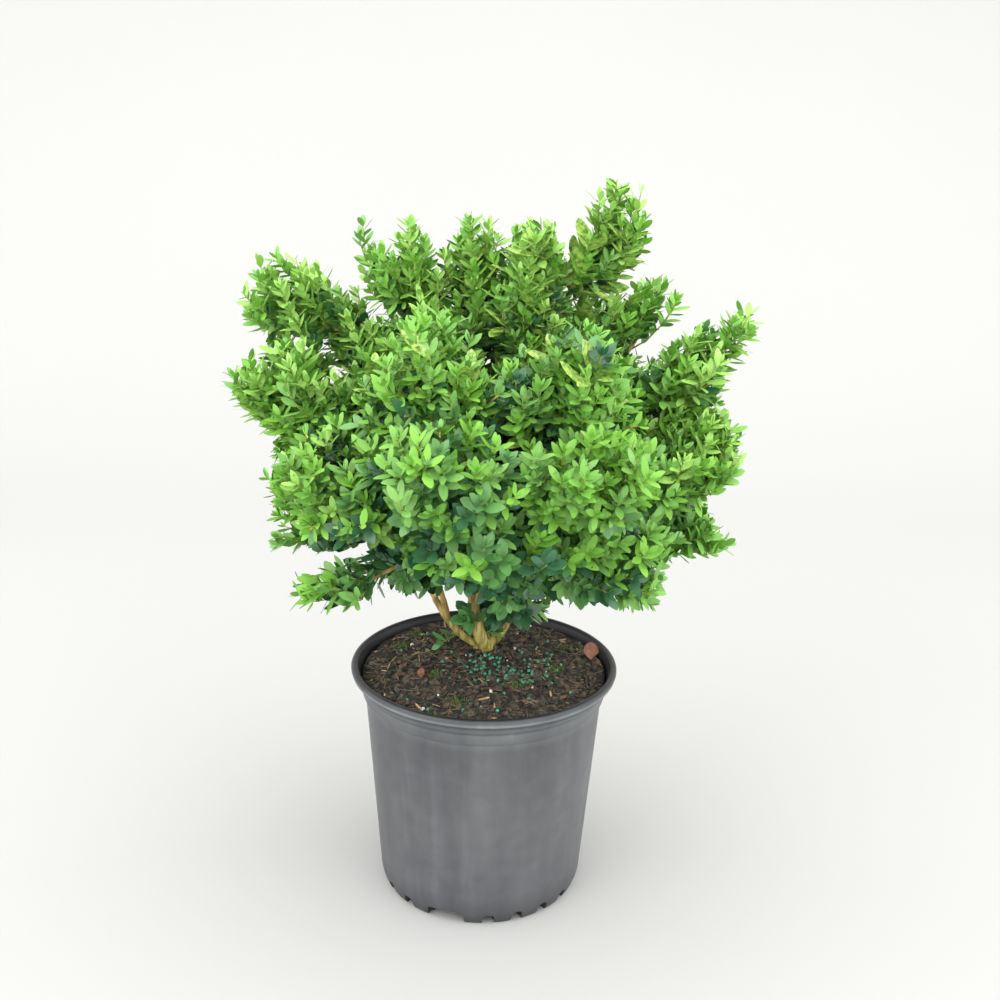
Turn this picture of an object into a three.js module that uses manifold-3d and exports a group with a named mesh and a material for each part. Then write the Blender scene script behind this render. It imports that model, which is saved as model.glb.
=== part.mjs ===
// A potted green velvet boxwood: a low evergreen shrub with four stems, in a black nursery pot.
// Millimetres, +Z up. The origin is the middle of the pot's underside, and the front faces -Y.
import * as THREE from "three";
import { mergeVertices } from "three/addons/utils/BufferGeometryUtils.js";
import Module from "manifold-3d";

const wasm = await Module();
wasm.setup();

const GAP = 0.3; // air between pieces that touch
const FINEST = 0.05; // edges of a joined solid shorter than this are closed up
const UP = new THREE.Vector3(0, 0, 1);

// The pot: a thin moulded wall that tapers down to a crenellated foot ring.
const POT = {
  height: 199,
  lipRadius: 111,
  lipThickness: 6,
  wallTop: { radius: 99, z: 171 },
  wallBottom: { radius: 87, z: 14 },
  wallThickness: 2,
  footRadius: 83,
  footDepth: 7,
  floorUnderside: 9,
  floorThickness: 2.5,
  sides: 40,
};

// Turns about the pot's axis are 0 at the front and grow to the right. Two wide arches stand in
// place of a foot each, and a narrow gap parts the other feet.
const FEET = {
  count: 22,
  firstFoot: -3,
  gapWidth: 9,
  gapHeight: 7.5,
  archWidth: 31,
  archHeight: 9,
  archesOverFoot: [-1, 10],
  archSides: 1,
};

const SOIL = { edgeBelowLip: 13, moundRise: 4, moundRadius: 50, sides: 24 };

// The root crown, where the stems part just over the soil, a little behind the pot's axis.
const TRUNK = { x: -1, y: 31, flareRadius: 13, neckRadius: 8, neckHeight: 7, prong: 20, sides: 8 };

// Each stem's route up from the trunk, as offsets from the trunk's foot, the mass at its tip, and
// its radius over the trunk.
const STEMS = {
  left: { route: [[-14, -1, 14], [-31, -7, 35], [-48, -12, 74]], bears: "left_shoulder", radius: 3.6 },
  middle: { route: [[-2, -9, 17], [-8, -14, 48], [-12, -20, 110]], bears: "top_middle", radius: 5 },
  right: { route: [[11, 1, 15], [22, 0, 36], [36, -8, 90]], bears: "top_right", radius: 4.4 },
  back: { route: [[2, 11, 15], [8, 26, 40], [16, 44, 95]], bears: "back_right_upper", radius: 4.2 },
};

const LIMB = { tipRadius: 1.9, boughRadius: 2.8, stemSides: 6, stemRows: 7, boughSides: 4, boughRows: 3 };

// Boughs leave their stem between these shares of its length, the lowest mass's bough first.
const BOUGHS = { lowest: 0.1, highest: 0.68, bend: 0.25 };

// The masses of foliage. Each row has the stem that bears it, the compass turn of its furthest tip
// (0 to the right, -90 to the front), that tip's distance from the pot's axis, its height, and the
// mass's half width.
const MASSES = {
  top_right: ["right", -3, 96, 589, 36],
  top_ridge: ["middle", -20, 52, 556, 34],
  top_middle: ["middle", 150, 17, 562, 34],
  top_left: ["left", 178, 68, 560, 36],
  right_shoulder: ["right", 8, 146, 514, 40],
  right_upper: ["right", -7, 199, 480, 42],
  front_right_upper: ["middle", -55, 140, 478, 50],
  front_left_upper: ["middle", -115, 135, 485, 50],
  left_shoulder: ["left", 177, 160, 529, 46],
  back_left_upper: ["back", 130, 130, 492, 50],
  back_right_upper: ["back", 56, 128, 496, 50],
  right_side: ["right", -14, 199, 398, 46],
  front_right_side: ["right", -55, 192, 408, 54],
  front_left_side: ["middle", -106, 190, 412, 54],
  left_side: ["left", 184, 203, 424, 46],
  left_front_side: ["left", -146, 190, 380, 50],
  back_left_side: ["back", 122, 194, 402, 54],
  back_right_side: ["back", 48, 194, 400, 54],
  right_low: ["right", -7, 190, 308, 44],
  front_right_low: ["right", -40, 162, 322, 46],
  front_low: ["middle", -94, 168, 334, 48],
  front_left_low: ["left", -146, 158, 276, 46],
  left_low: ["left", 183, 184, 308, 42],
  back_low: ["back", 96, 166, 290, 50],
  heart_left: ["left", 200, 92, 300, 50],
  heart_middle: ["middle", -80, 92, 300, 50],
  heart_right: ["right", -16, 92, 300, 50],
  heart_back: ["back", 100, 104, 300, 50],
};

// A mass begins this share of the way from the crown's heart to its tip.
const CROWN_HEART = new THREE.Vector3(0, 8, 318);
const MASS_START = 0.47;

// The dense masses in the crown's heart each have a small core of uneven faces.
const CORE = { masses: /^heart/, radius: 33, unevenness: 0.14 };

// A leaf stands for two or three real ones, so it is larger than life.
const LEAF = { length: 42, width: 23, thickness: 2.2, widestAt: 0.52 };
const TWIG = {
  baseRadius: 2.2,
  tipRadius: 1.4,
  sides: 3,
  sideRows: 1,
  spineRows: 2,
  whorls: [0.2, 0.56],
  // Pairs of leaves from a twig's tip inwards, each the share along it and how far it leans out.
  sidePairs: [[0.97, 0.6], [0.66, 0.95], [0.36, 1]],
  spinePairs: [[0.98, 0.45], [0.78, 0.95], [0.4, 1.05]],
};
const FOLIAGE = { lowest: 207, limbClearance: 2.2, spaceMargin: 0.25, seed: 1201 };

const COLOURS = { pot: 0x46474a, soil: 0x3a2a1e, stem: 0xb5a05c, bough: 0x8f9a4a, leaf: 0x55a032, heart: 0x1f5230 };

const degrees = (turn) => (turn * Math.PI) / 180;
const mix = (from, to, share) => from + (to - from) * share;
const vector = ([x, y, z]) => new THREE.Vector3(x, y, z);

// A seeded run of numbers from 0 to 1, the same on every machine.
function drawsFrom(seed) {
  let state = seed >>> 0;
  return () => {
    state = (state + 0x6d2b79f5) >>> 0;
    let t = Math.imul(state ^ (state >>> 15), state | 1);
    t ^= t + Math.imul(t ^ (t >>> 7), t | 61);
    return ((t ^ (t >>> 14)) >>> 0) / 4294967296;
  };
}

// A closed three.js geometry as a solid that can be joined and cut.
function solid(geometry) {
  const bare = geometry.clone();
  bare.deleteAttribute("normal");
  bare.deleteAttribute("uv");
  const merged = mergeVertices(bare, 1e-4);
  return new wasm.Manifold(
    new wasm.Mesh({
      numProp: 3,
      vertProperties: merged.attributes.position.array,
      triVerts: new Uint32Array(merged.index.array),
    }),
  );
}

// The body of a solid that reaches nearest to a point. Scraps and sealed hollows are left behind.
function bodyAt(shape, point) {
  const distance = (body) => {
    const { min, max } = body.boundingBox();
    return new THREE.Box3(new THREE.Vector3(...min), new THREE.Vector3(...max)).distanceToPoint(point);
  };
  const bodies = shape.decompose().filter((body) => body.volume() > 1);
  return bodies.sort((a, b) => distance(a) - distance(b) || b.volume() - a.volume())[0];
}

function meshOf(name, shape, colour, roughness) {
  const { vertProperties, triVerts } = shape.getMesh();
  const geometry = new THREE.BufferGeometry();
  geometry.setAttribute("position", new THREE.BufferAttribute(vertProperties, 3));
  geometry.setIndex(new THREE.BufferAttribute(triVerts, 1));
  geometry.computeVertexNormals();
  const material = new THREE.MeshStandardMaterial({ color: colour, roughness, metalness: 0 });
  const mesh = new THREE.Mesh(geometry, material);
  mesh.name = name;
  return mesh;
}

// A stretch of a longer curve.
class Stretch extends THREE.Curve {
  constructor(whole, from, to) {
    super();
    this.whole = whole;
    this.from = from;
    this.to = to;
  }

  getPoint(t, target = new THREE.Vector3()) {
    return this.whole.getPointAt(mix(this.from, this.to, t), target);
  }
}

// A tapering limb along a curve, with a flat cut at each end.
class Limb {
  constructor(curve, startRadius, endRadius, sides, rows) {
    Object.assign(this, { curve, startRadius, endRadius, sides, rows });
    this.points = curve.getSpacedPoints(rows);
  }

  radiusAt(along) {
    return mix(this.startRadius, this.endRadius, along);
  }

  // A cylinder whose rings are set along the curve, thickened by swell.
  solid(swell = 0) {
    const { curve, sides, rows } = this;
    const geometry = new THREE.CylinderGeometry(1, 1, 1, sides, rows);
    const frames = curve.computeFrenetFrames(rows);
    const position = geometry.attributes.position;
    for (let i = 0; i < position.count; i++) {
      const along = position.getY(i) + 0.5;
      const row = Math.round(along * rows);
      const radius = this.radiusAt(along) + swell;
      const point = this.points[row].clone();
      point.addScaledVector(frames.normals[row], position.getZ(i) * radius);
      point.addScaledVector(frames.binormals[row], position.getX(i) * radius);
      position.setXYZ(i, point.x, point.y, point.z);
    }
    return solid(geometry);
  }

  // How far a point is from the limb's surface.
  distanceTo(point) {
    const nearest = new THREE.Vector3();
    const span = new THREE.Line3();
    let least = Infinity;
    for (let row = 0; row < this.rows; row++) {
      span.set(this.points[row], this.points[row + 1]);
      span.closestPointToPoint(point, true, nearest);
      least = Math.min(least, nearest.distanceTo(point) - this.radiusAt(row / this.rows));
    }
    return least;
  }
}

// The pot's outer radius on its straight wall.
function wallRadius(z) {
  const { wallTop, wallBottom } = POT;
  return mix(wallBottom.radius, wallTop.radius, (z - wallBottom.z) / (wallTop.z - wallBottom.z));
}

function potProfile() {
  const { height, lipRadius, lipThickness, wallTop, wallBottom, wallThickness } = POT;
  const { footRadius, footDepth, floorUnderside, floorThickness } = POT;
  const floorTop = floorUnderside + floorThickness;
  const innerTop = wallTop.radius - wallThickness;
  const roll = lipThickness / 2;
  const outline = new THREE.Path();
  outline.moveTo(0, floorUnderside);
  outline.lineTo(footRadius - footDepth, floorUnderside);
  outline.lineTo(footRadius - footDepth, 0);
  outline.lineTo(footRadius, 0);
  outline.quadraticCurveTo(wallBottom.radius - 0.6, 3, wallBottom.radius, wallBottom.z);
  outline.lineTo(wallTop.radius, wallTop.z);
  outline.lineTo(wallTop.radius + 2.4, wallTop.z + 4);
  outline.lineTo(lipRadius - 8.6, height - 16);
  outline.lineTo(lipRadius - 5, height - 12);
  outline.lineTo(lipRadius - 5.4, height - 9);
  outline.lineTo(lipRadius, height - 5.2);
  outline.absarc(lipRadius - roll, height - roll, roll, 0, Math.PI * 0.85, false);
  outline.lineTo(lipRadius - lipThickness - 1.5, height - 8);
  outline.lineTo(innerTop, wallTop.z);
  outline.lineTo(wallRadius(floorTop + 3) - wallThickness, floorTop + 3);
  outline.lineTo(wallRadius(floorTop) - wallThickness - 3, floorTop);
  outline.lineTo(0, floorTop);
  return outline.getPoints(2);
}

// An arched opening through the foot ring, drawn at the front and turned into place.
function footOpening(width, height, turn) {
  const arch = new THREE.Shape();
  const springing = height * 0.35;
  arch.moveTo(-width / 2, -1);
  arch.lineTo(width / 2, -1);
  arch.lineTo(width / 2, springing);
  arch.quadraticCurveTo(width / 2, height, width / 4, height);
  arch.lineTo(-width / 4, height);
  arch.quadraticCurveTo(-width / 2, height, -width / 2, springing);
  const inside = POT.footRadius - POT.footDepth - 3;
  const cutter = new THREE.ExtrudeGeometry(arch, {
    depth: POT.wallBottom.radius + 3 - inside,
    bevelEnabled: false,
    curveSegments: FEET.archSides,
  });
  cutter.rotateX(Math.PI / 2);
  cutter.translate(0, -inside, 0);
  cutter.rotateZ(degrees(turn));
  return solid(cutter);
}

function potSolid() {
  const shell = new THREE.LatheGeometry(potProfile(), POT.sides);
  shell.rotateX(Math.PI / 2);
  const { count, firstFoot, archesOverFoot } = FEET;
  const pitch = 360 / count;
  const replaced = archesOverFoot.flatMap((foot) => [(foot - 1 + count) % count, (foot + count) % count]);
  const openings = archesOverFoot.map((foot) =>
    footOpening(FEET.archWidth, FEET.archHeight, firstFoot + foot * pitch),
  );
  for (let gap = 0; gap < count; gap++) {
    if (replaced.includes(gap)) continue;
    openings.push(footOpening(FEET.gapWidth, FEET.gapHeight, firstFoot + (gap + 0.5) * pitch));
  }
  return solid(shell).subtract(wasm.Manifold.union(openings));
}

// The bark mix fills the pot to under its lip, and rises a little round the trunk.
const soilBottom = POT.floorUnderside + POT.floorThickness + GAP;
const soilEdge = POT.height - SOIL.edgeBelowLip;
const groundLevel = soilEdge + SOIL.moundRise;

function soilSolid() {
  const inset = POT.wallThickness + GAP;
  const widest = POT.wallTop.radius - inset;
  const outline = [
    new THREE.Vector2(0, soilBottom),
    new THREE.Vector2(wallRadius(soilBottom) - inset - 3.2, soilBottom),
    new THREE.Vector2(wallRadius(soilBottom + 3) - inset, soilBottom + 3),
    new THREE.Vector2(widest, POT.wallTop.z),
    new THREE.Vector2(widest + 1.2, soilEdge - 2),
    new THREE.Vector2(widest - 1, soilEdge),
    new THREE.Vector2(SOIL.moundRadius, groundLevel),
    new THREE.Vector2(0, groundLevel),
  ];
  const body = new THREE.LatheGeometry(outline, SOIL.sides);
  body.rotateX(Math.PI / 2);
  return solid(body);
}

// Stems. Each whole stem runs up from the trunk's foot, and the trunk keeps its first stretch.
const trunkFoot = new THREE.Vector3(TRUNK.x, TRUNK.y, groundLevel + GAP);

function wholeStem({ route, bears }) {
  const points = route.map((offset) => vector(offset).add(trunkFoot));
  const from = trunkFoot.clone().addScaledVector(UP, TRUNK.neckHeight);
  return new THREE.CatmullRomCurve3([from, ...points, massStart(MASSES[bears])]);
}

function stemLimb(stem) {
  const whole = wholeStem(stem);
  const start = (TRUNK.prong + GAP) / whole.getLength();
  return new Limb(new Stretch(whole, start, 1), stem.radius, LIMB.tipRadius, LIMB.stemSides, LIMB.stemRows);
}

function trunkSolid() {
  const { flareRadius, neckRadius, neckHeight, prong, sides } = TRUNK;
  const flare = new THREE.Path();
  flare.moveTo(0, 0);
  flare.lineTo(flareRadius, 0);
  flare.quadraticCurveTo(neckRadius, 1, neckRadius, neckHeight);
  flare.lineTo(neckRadius * 0.6, neckHeight + 3);
  flare.lineTo(0, neckHeight + 3);
  const foot = new THREE.LatheGeometry(flare.getPoints(2), sides);
  foot.rotateX(Math.PI / 2);
  foot.translate(...trunkFoot.toArray());
  const prongs = Object.values(STEMS).map((stem) => {
    const whole = wholeStem(stem);
    const stretch = new Stretch(whole, 0, prong / whole.getLength());
    return new Limb(stretch, stem.radius * 1.15, stem.radius, LIMB.stemSides, 2).solid();
  });
  return wasm.Manifold.union([solid(foot), ...prongs]).simplify(FINEST);
}

function massTip([, turn, out, height]) {
  return new THREE.Vector3(out * Math.cos(degrees(turn)), out * Math.sin(degrees(turn)), height);
}

function massStart(row) {
  return CROWN_HEART.clone().lerp(massTip(row), MASS_START);
}

// A mass sets out from the end of its limb, a little outwards, and turns up to its tip. Its spine
// ends in its last pair of leaves.
function massOf([name, row], index) {
  const [stem, , , , halfWidth] = row;
  const tip = massTip(row);
  const start = massStart(row);
  const atTip = STEMS[stem].bears === name;
  const outward = new THREE.Vector3(tip.x, tip.y, 0).multiplyScalar(0.3);
  const ownWay = tip.clone().sub(start).add(outward).normalize();
  const setOut = atTip ? stemLimbs[stem].curve.getTangentAt(1) : ownWay;
  const last = tip.clone().lerp(start, (LEAF.length * 0.85) / start.distanceTo(tip));
  const root = start.clone().addScaledVector(setOut, GAP);
  const turning = start.clone().addScaledVector(setOut, start.distanceTo(last) * 0.5);
  const curve = new THREE.QuadraticBezierCurve3(root, turning, last);
  const spine = new Limb(curve, TWIG.baseRadius, TWIG.tipRadius, TWIG.sides, TWIG.spineRows);
  const centre = start.clone().lerp(tip, 0.5);
  return { name, stem, atTip, start, setOut, halfWidth, spine, centre, seed: FOLIAGE.seed + index };
}

// A mass's own space: nearer to its centre than to any other mass's, allowing for their widths.
function insideSpace(mass, masses) {
  const walls = masses
    .filter((other) => other !== mass)
    .map((other) => {
      const across = other.centre.clone().sub(mass.centre);
      const gap = across.length();
      const share = (gap * gap + mass.halfWidth ** 2 - other.halfWidth ** 2) / (2 * gap);
      const facing = across.divideScalar(gap);
      return { facing, offset: facing.dot(mass.centre) + share - FOLIAGE.spaceMargin };
    });
  return (point) =>
    point.z > FOLIAGE.lowest && walls.every(({ facing, offset }) => facing.dot(point) < offset);
}

// A direction square to a twig, turned about it.
function besideTwig(tangent, turn) {
  const level = new THREE.Vector3().crossVectors(tangent, UP);
  if (level.length() < 0.2) level.set(1, 0, 0).cross(tangent);
  return level.normalize().applyAxisAngle(tangent, turn);
}

// A side twig leans away from its parent, and a little up to the light.
function sideTwig(parent, along, turn, lean, length) {
  const from = parent.getPointAt(along);
  const tangent = parent.getTangentAt(along);
  const heading = besideTwig(tangent, turn).multiplyScalar(Math.sin(lean));
  heading.addScaledVector(tangent, Math.cos(lean)).addScaledVector(UP, 0.16);
  return new THREE.LineCurve3(from, from.clone().addScaledVector(heading, length));
}

// The places of a pair's leaves on a twig, as frames with the root, the blade's way and its face.
function leafPair(twig, along, turn, lean) {
  const root = twig.getPointAt(along);
  const tangent = twig.getTangentAt(along);
  return [0, Math.PI].map((half) => {
    const side = besideTwig(tangent, turn + half);
    const across = new THREE.Vector3().crossVectors(side, tangent);
    const way = side.multiplyScalar(Math.sin(lean)).addScaledVector(tangent, Math.cos(lean));
    return { root, way, across, face: new THREE.Vector3().crossVectors(across, way) };
  });
}

// A leaf is a tetrahedron flattened to a blade: one long edge is the raised midrib, from root to
// tip, and the opposite edge joins the blade's two sides below it.
function leafGeometry({ root, way, across, face }, size) {
  const blade = new THREE.TetrahedronGeometry(Math.sqrt(3)).rotateZ(Math.PI / 4);
  const position = blade.attributes.position;
  const place = new THREE.Matrix4().makeBasis(across, way, face).setPosition(root);
  for (let i = 0; i < position.count; i++) {
    const isMidrib = position.getZ(i) > 0;
    const along = isMidrib ? (Math.sign(position.getY(i)) + 1) / 2 : LEAF.widestAt;
    const beside = isMidrib ? 0 : Math.sign(position.getX(i)) / 2;
    const height = (position.getZ(i) / 2) * LEAF.thickness;
    const y = along * LEAF.length * size + TWIG.tipRadius * 0.2;
    position.setXYZ(i, beside * LEAF.width * size, y, height);
  }
  return blade.applyMatrix4(place);
}

// Points over a leaf, for testing that it keeps to its space and off the limbs.
function leafPoints({ root, way, across }, size) {
  const points = [];
  for (const along of [0.25, 0.5, 0.75, 1]) {
    const half = (along === 1 ? 0 : 0.5 - Math.abs(along - LEAF.widestAt)) * LEAF.width * size;
    for (const side of [-half, 0, half]) {
      const point = root.clone().addScaledVector(way, along * LEAF.length * size);
      points.push(point.addScaledVector(across, side));
    }
  }
  return points;
}

// The core of a dense mass, an uneven faceted ball that shrinks until it fits the mass's space.
function coreSolid(mass, inside, draw) {
  const ball = new THREE.IcosahedronGeometry(1, 1);
  ball.deleteAttribute("normal");
  ball.deleteAttribute("uv");
  const merged = mergeVertices(ball);
  const corners = merged.attributes.position;
  const point = new THREE.Vector3();
  for (let i = 0; i < corners.count; i++) {
    point.fromBufferAttribute(corners, i).multiplyScalar(mix(1 - CORE.unevenness, 1 + CORE.unevenness, draw()));
    corners.setXYZ(i, point.x, point.y, point.z);
  }
  const reaches = (radius) => {
    for (let i = 0; i < corners.count; i++) {
      point.fromBufferAttribute(corners, i).multiplyScalar(radius).add(mass.centre);
      if (!inside(point)) return false;
    }
    return true;
  };
  let radius = CORE.radius;
  while (!reaches(radius)) radius *= 0.92;
  return solid(merged.scale(radius, radius, radius).translate(...mass.centre.toArray()));
}

function massSolid(mass, masses, limbs) {
  const draw = drawsFrom(mass.seed);
  const inside = insideSpace(mass, masses);
  const others = masses.filter((other) => other !== mass).map((other) => other.spine);
  const obstacles = [...limbs, ...others];
  const clear = (point) => obstacles.every((limb) => limb.distanceTo(point) > FOLIAGE.limbClearance);
  const fits = (point) => inside(point) && clear(point);
  const twigs = [{ curve: mass.spine.curve, body: mass.spine.solid(), pairs: TWIG.spinePairs }];
  TWIG.whorls.forEach((along, whorl) => {
    const whorlTurn = (whorl * Math.PI) / 2 + mix(-0.5, 0.5, draw());
    for (const half of [0, Math.PI]) {
      const turn = whorlTurn + half + mix(-0.2, 0.2, draw());
      const lean = mix(1.05, 0.7, along);
      const reach = mass.halfWidth * mix(1.3, 0.75, along) * mix(0.85, 1.15, draw());
      const lengths = [1, 0.8, 0.62, 0.45].map((share) => share * reach);
      const tries = lengths.map((length) => sideTwig(mass.spine.curve, along, turn, lean, length));
      const curve = tries.find((way) => way.getSpacedPoints(6).slice(1).every(fits));
      if (!curve) continue;
      const body = new Limb(curve, TWIG.baseRadius * 0.8, TWIG.tipRadius, TWIG.sides, TWIG.sideRows).solid();
      twigs.push({ curve, body, pairs: TWIG.sidePairs });
    }
  });

  // A leaf is left out where it would leave the space or touch a limb, another twig or leaf.
  const leaves = [];
  for (const twig of twigs) {
    const others = twigs.filter((other) => other !== twig).map((other) => other.body);
    const firstTurn = mix(0, Math.PI, draw());
    twig.pairs.forEach(([along, lean], k) => {
      const pair = leafPair(twig.curve, along, firstTurn + (k * Math.PI) / 2, lean);
      const bodies = pair
        .map((place) => ({ place, size: mix(0.86, 1.12, draw()) }))
        .filter(({ place, size }) => leafPoints(place, size).every(fits))
        .map(({ place, size }) => solid(leafGeometry(place, size)))
        .filter((leaf) => [...leaves, ...others].every((other) => other.intersect(leaf).isEmpty()));
      leaves.push(...bodies);
    });
  }
  const pieces = [...twigs.map((twig) => twig.body), ...leaves];
  if (CORE.masses.test(mass.name)) {
    const passing = wasm.Manifold.union(obstacles.map((limb) => limb.solid(GAP)));
    pieces.push(coreSolid(mass, inside, draw).subtract(passing));
  }
  return bodyAt(wasm.Manifold.union(pieces).simplify(FINEST), mass.start);
}

const stemLimbs = Object.fromEntries(Object.entries(STEMS).map(([name, stem]) => [name, stemLimb(stem)]));
const masses = Object.entries(MASSES).map(massOf);

// The bough that carries a mass, from its stem's middle to where the mass begins.
function boughLimb(mass) {
  const neighbours = masses.filter((other) => other.stem === mass.stem && !other.atTip);
  neighbours.sort((a, b) => a.start.z - b.start.z);
  const rank = neighbours.indexOf(mass) / (neighbours.length - 1);
  const from = stemLimbs[mass.stem].curve.getPointAt(mix(BOUGHS.lowest, BOUGHS.highest, rank));
  const turning = mass.start.clone().addScaledVector(mass.setOut, -from.distanceTo(mass.start) * BOUGHS.bend);
  const curve = new THREE.QuadraticBezierCurve3(from, turning, mass.start);
  return new Limb(curve, LIMB.boughRadius, LIMB.tipRadius, LIMB.boughSides, LIMB.boughRows);
}

const boughs = masses.filter((mass) => !mass.atTip).map((mass) => ({ mass, limb: boughLimb(mass) }));
const limbs = [...Object.values(stemLimbs), ...boughs.map((bough) => bough.limb)];

const plant = new THREE.Group();
plant.add(meshOf("trunk", trunkSolid(), COLOURS.stem, 0.8));
for (const [name, limb] of Object.entries(stemLimbs))
  plant.add(meshOf("stem_" + name, limb.solid(), COLOURS.stem, 0.8));
const carvers = Object.values(stemLimbs).map((stem) => stem.solid(GAP));
for (const { mass, limb } of boughs) {
  const body = limb.solid().subtract(wasm.Manifold.union(carvers)).simplify(FINEST);
  carvers.push(limb.solid(GAP));
  plant.add(meshOf("bough_" + mass.name, bodyAt(body, mass.start), COLOURS.bough, 0.75));
}
for (const mass of masses) {
  const colour = CORE.masses.test(mass.name) ? COLOURS.heart : COLOURS.leaf;
  plant.add(meshOf("foliage_" + mass.name, massSolid(mass, masses, limbs), colour, 0.55));
}

const pot = new THREE.Group();
pot.add(meshOf("pot", potSolid(), COLOURS.pot, 0.5));
pot.add(meshOf("soil", soilSolid(), COLOURS.soil, 0.95));

const part = new THREE.Group();
part.add(pot, plant);
export default part;
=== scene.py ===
# %% [markdown]
# A potted green velvet boxwood: a young shrub with four stems and a dense crown of small oval
# leaves, in a round nursery pot. Each cell makes one piece or one finish of it. Lengths in the
# tables are millimetres, as on a maker's drawing, and MM turns them into Blender's metres.

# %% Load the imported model
import math

import bpy
import numpy as np
from mathutils import Matrix, Vector, noise


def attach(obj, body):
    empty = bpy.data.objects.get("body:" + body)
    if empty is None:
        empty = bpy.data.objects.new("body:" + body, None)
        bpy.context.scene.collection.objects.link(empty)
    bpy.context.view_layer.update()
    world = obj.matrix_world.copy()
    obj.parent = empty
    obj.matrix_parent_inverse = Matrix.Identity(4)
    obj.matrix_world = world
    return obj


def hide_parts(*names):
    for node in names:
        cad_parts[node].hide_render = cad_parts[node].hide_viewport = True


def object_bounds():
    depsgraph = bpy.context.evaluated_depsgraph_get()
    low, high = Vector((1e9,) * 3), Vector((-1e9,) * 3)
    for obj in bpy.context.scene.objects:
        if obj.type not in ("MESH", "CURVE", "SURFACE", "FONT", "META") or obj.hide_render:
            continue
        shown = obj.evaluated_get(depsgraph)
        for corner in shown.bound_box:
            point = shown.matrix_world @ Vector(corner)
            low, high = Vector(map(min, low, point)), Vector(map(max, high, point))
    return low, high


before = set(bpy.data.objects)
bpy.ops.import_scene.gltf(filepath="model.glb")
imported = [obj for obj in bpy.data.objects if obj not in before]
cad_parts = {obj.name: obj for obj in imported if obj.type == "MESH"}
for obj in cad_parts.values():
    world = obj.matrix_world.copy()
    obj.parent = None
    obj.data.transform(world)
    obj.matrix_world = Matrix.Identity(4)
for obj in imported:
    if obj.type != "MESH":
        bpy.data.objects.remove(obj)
cad_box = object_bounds()
MM = 0.001
BODY = "root"
corners = [tuple(round(x, 3) for x in corner) for corner in cad_box]
print("packed model:", len(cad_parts), "nodes, box", corners)


# %% [markdown]
# The camera comes first, because it settles which side is looked at most. It stands 0.92 m in
# front of the pot and 0.63 m up, looks down by 17 degrees and leans a little, with a 43 mm lens.

# %% Camera
CAMERA_PLACE = (0, -923, 626)
CAMERA_YAW = 0.011
CAMERA_PITCH = 0.301
CAMERA_ROLL = 0.0234
LENS = 43.2

looking = Vector((math.sin(CAMERA_YAW), math.cos(CAMERA_YAW), -math.tan(CAMERA_PITCH))).normalized()
right = looking.cross(Vector((0, 0, 1))).normalized()
up = right.cross(looking)
turned_right = right * math.cos(CAMERA_ROLL) + up * math.sin(CAMERA_ROLL)
turned_up = up * math.cos(CAMERA_ROLL) - right * math.sin(CAMERA_ROLL)
camera = bpy.data.objects.new("camera", bpy.data.cameras.new("camera"))
bpy.context.scene.collection.objects.link(camera)
axes = Matrix((turned_right, turned_up, -looking)).transposed()
camera.matrix_world = Matrix.Translation(Vector(CAMERA_PLACE) * MM) @ axes.to_4x4()
camera.data.lens = LENS
bpy.context.scene.camera = camera
print("camera at", CAMERA_PLACE, "mm, lens", LENS, "mm")


# %% [markdown]
# Nearly every finish here is the same recipe: one shader, with a noise pattern that varies its
# colour between a few plain tones, and a finer noise for the bump. Helpers keep that in one
# place, so each material below reads as a list of what makes it look like itself. The first two
# turn a colour into the shader's own numbers, and add a node with its settings.

# %% Colours and nodes
def linear(red, green, blue):
    """A colour given from 0 to 255, as the shader wants it."""
    share = [x / 255 for x in (red, green, blue)]
    return (*[x / 12.92 if x <= 0.04045 else ((x + 0.055) / 1.055) ** 2.4 for x in share], 1)


def add_node(material, kind, **settings):
    node = material.node_tree.nodes.new(kind)
    for name, value in settings.items():
        if name in node.inputs:
            node.inputs[name].default_value = value
        else:
            setattr(node, name, value)
    return node


print("mid grey as the shader wants it:", [round(share, 3) for share in linear(128, 128, 128)])


# %% [markdown]
# A pattern could be painted on or read from an image. Noise over the piece's own space needs
# neither, has no seams, and stays in place on the piece. A ramp turns it into tones, and two
# patterns are laid over each other by multiplying them.

# %% Patterns and finishes
def object_noise(material, scale, detail=3, stretch=(1, 1, 1)):
    """A noise pattern over the piece, scale in bumps to the metre."""
    links = material.node_tree.links
    place = add_node(material, "ShaderNodeTexCoord")
    mapping = add_node(material, "ShaderNodeMapping", Scale=stretch)
    pattern = add_node(material, "ShaderNodeTexNoise", Scale=scale, Detail=detail)
    links.new(place.outputs["Object"], mapping.inputs["Vector"])
    links.new(mapping.outputs["Vector"], pattern.inputs["Vector"])
    return pattern.outputs["Fac"]


def tones(material, source, steps):
    """A colour ramp from a pattern, steps as (share, colour)."""
    ramp = add_node(material, "ShaderNodeValToRGB")
    elements = ramp.color_ramp.elements
    elements[0].position, elements[0].color = steps[0]
    elements[1].position, elements[1].color = steps[-1]
    for share, colour in steps[1:-1]:
        elements.new(share).color = colour
    material.node_tree.links.new(source, ramp.inputs["Fac"])
    return ramp.outputs["Color"]


def multiplied(material, first, second):
    """The colours of two patterns multiplied together."""
    mix = add_node(material, "ShaderNodeMix", data_type="RGBA", blend_type="MULTIPLY")
    factor, first_colour, second_colour = (mix.inputs[k] for k in (0, 6, 7))
    factor.default_value = 1
    material.node_tree.links.new(first, first_colour)
    material.node_tree.links.new(second, second_colour)
    return mix.outputs[2]


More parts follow.
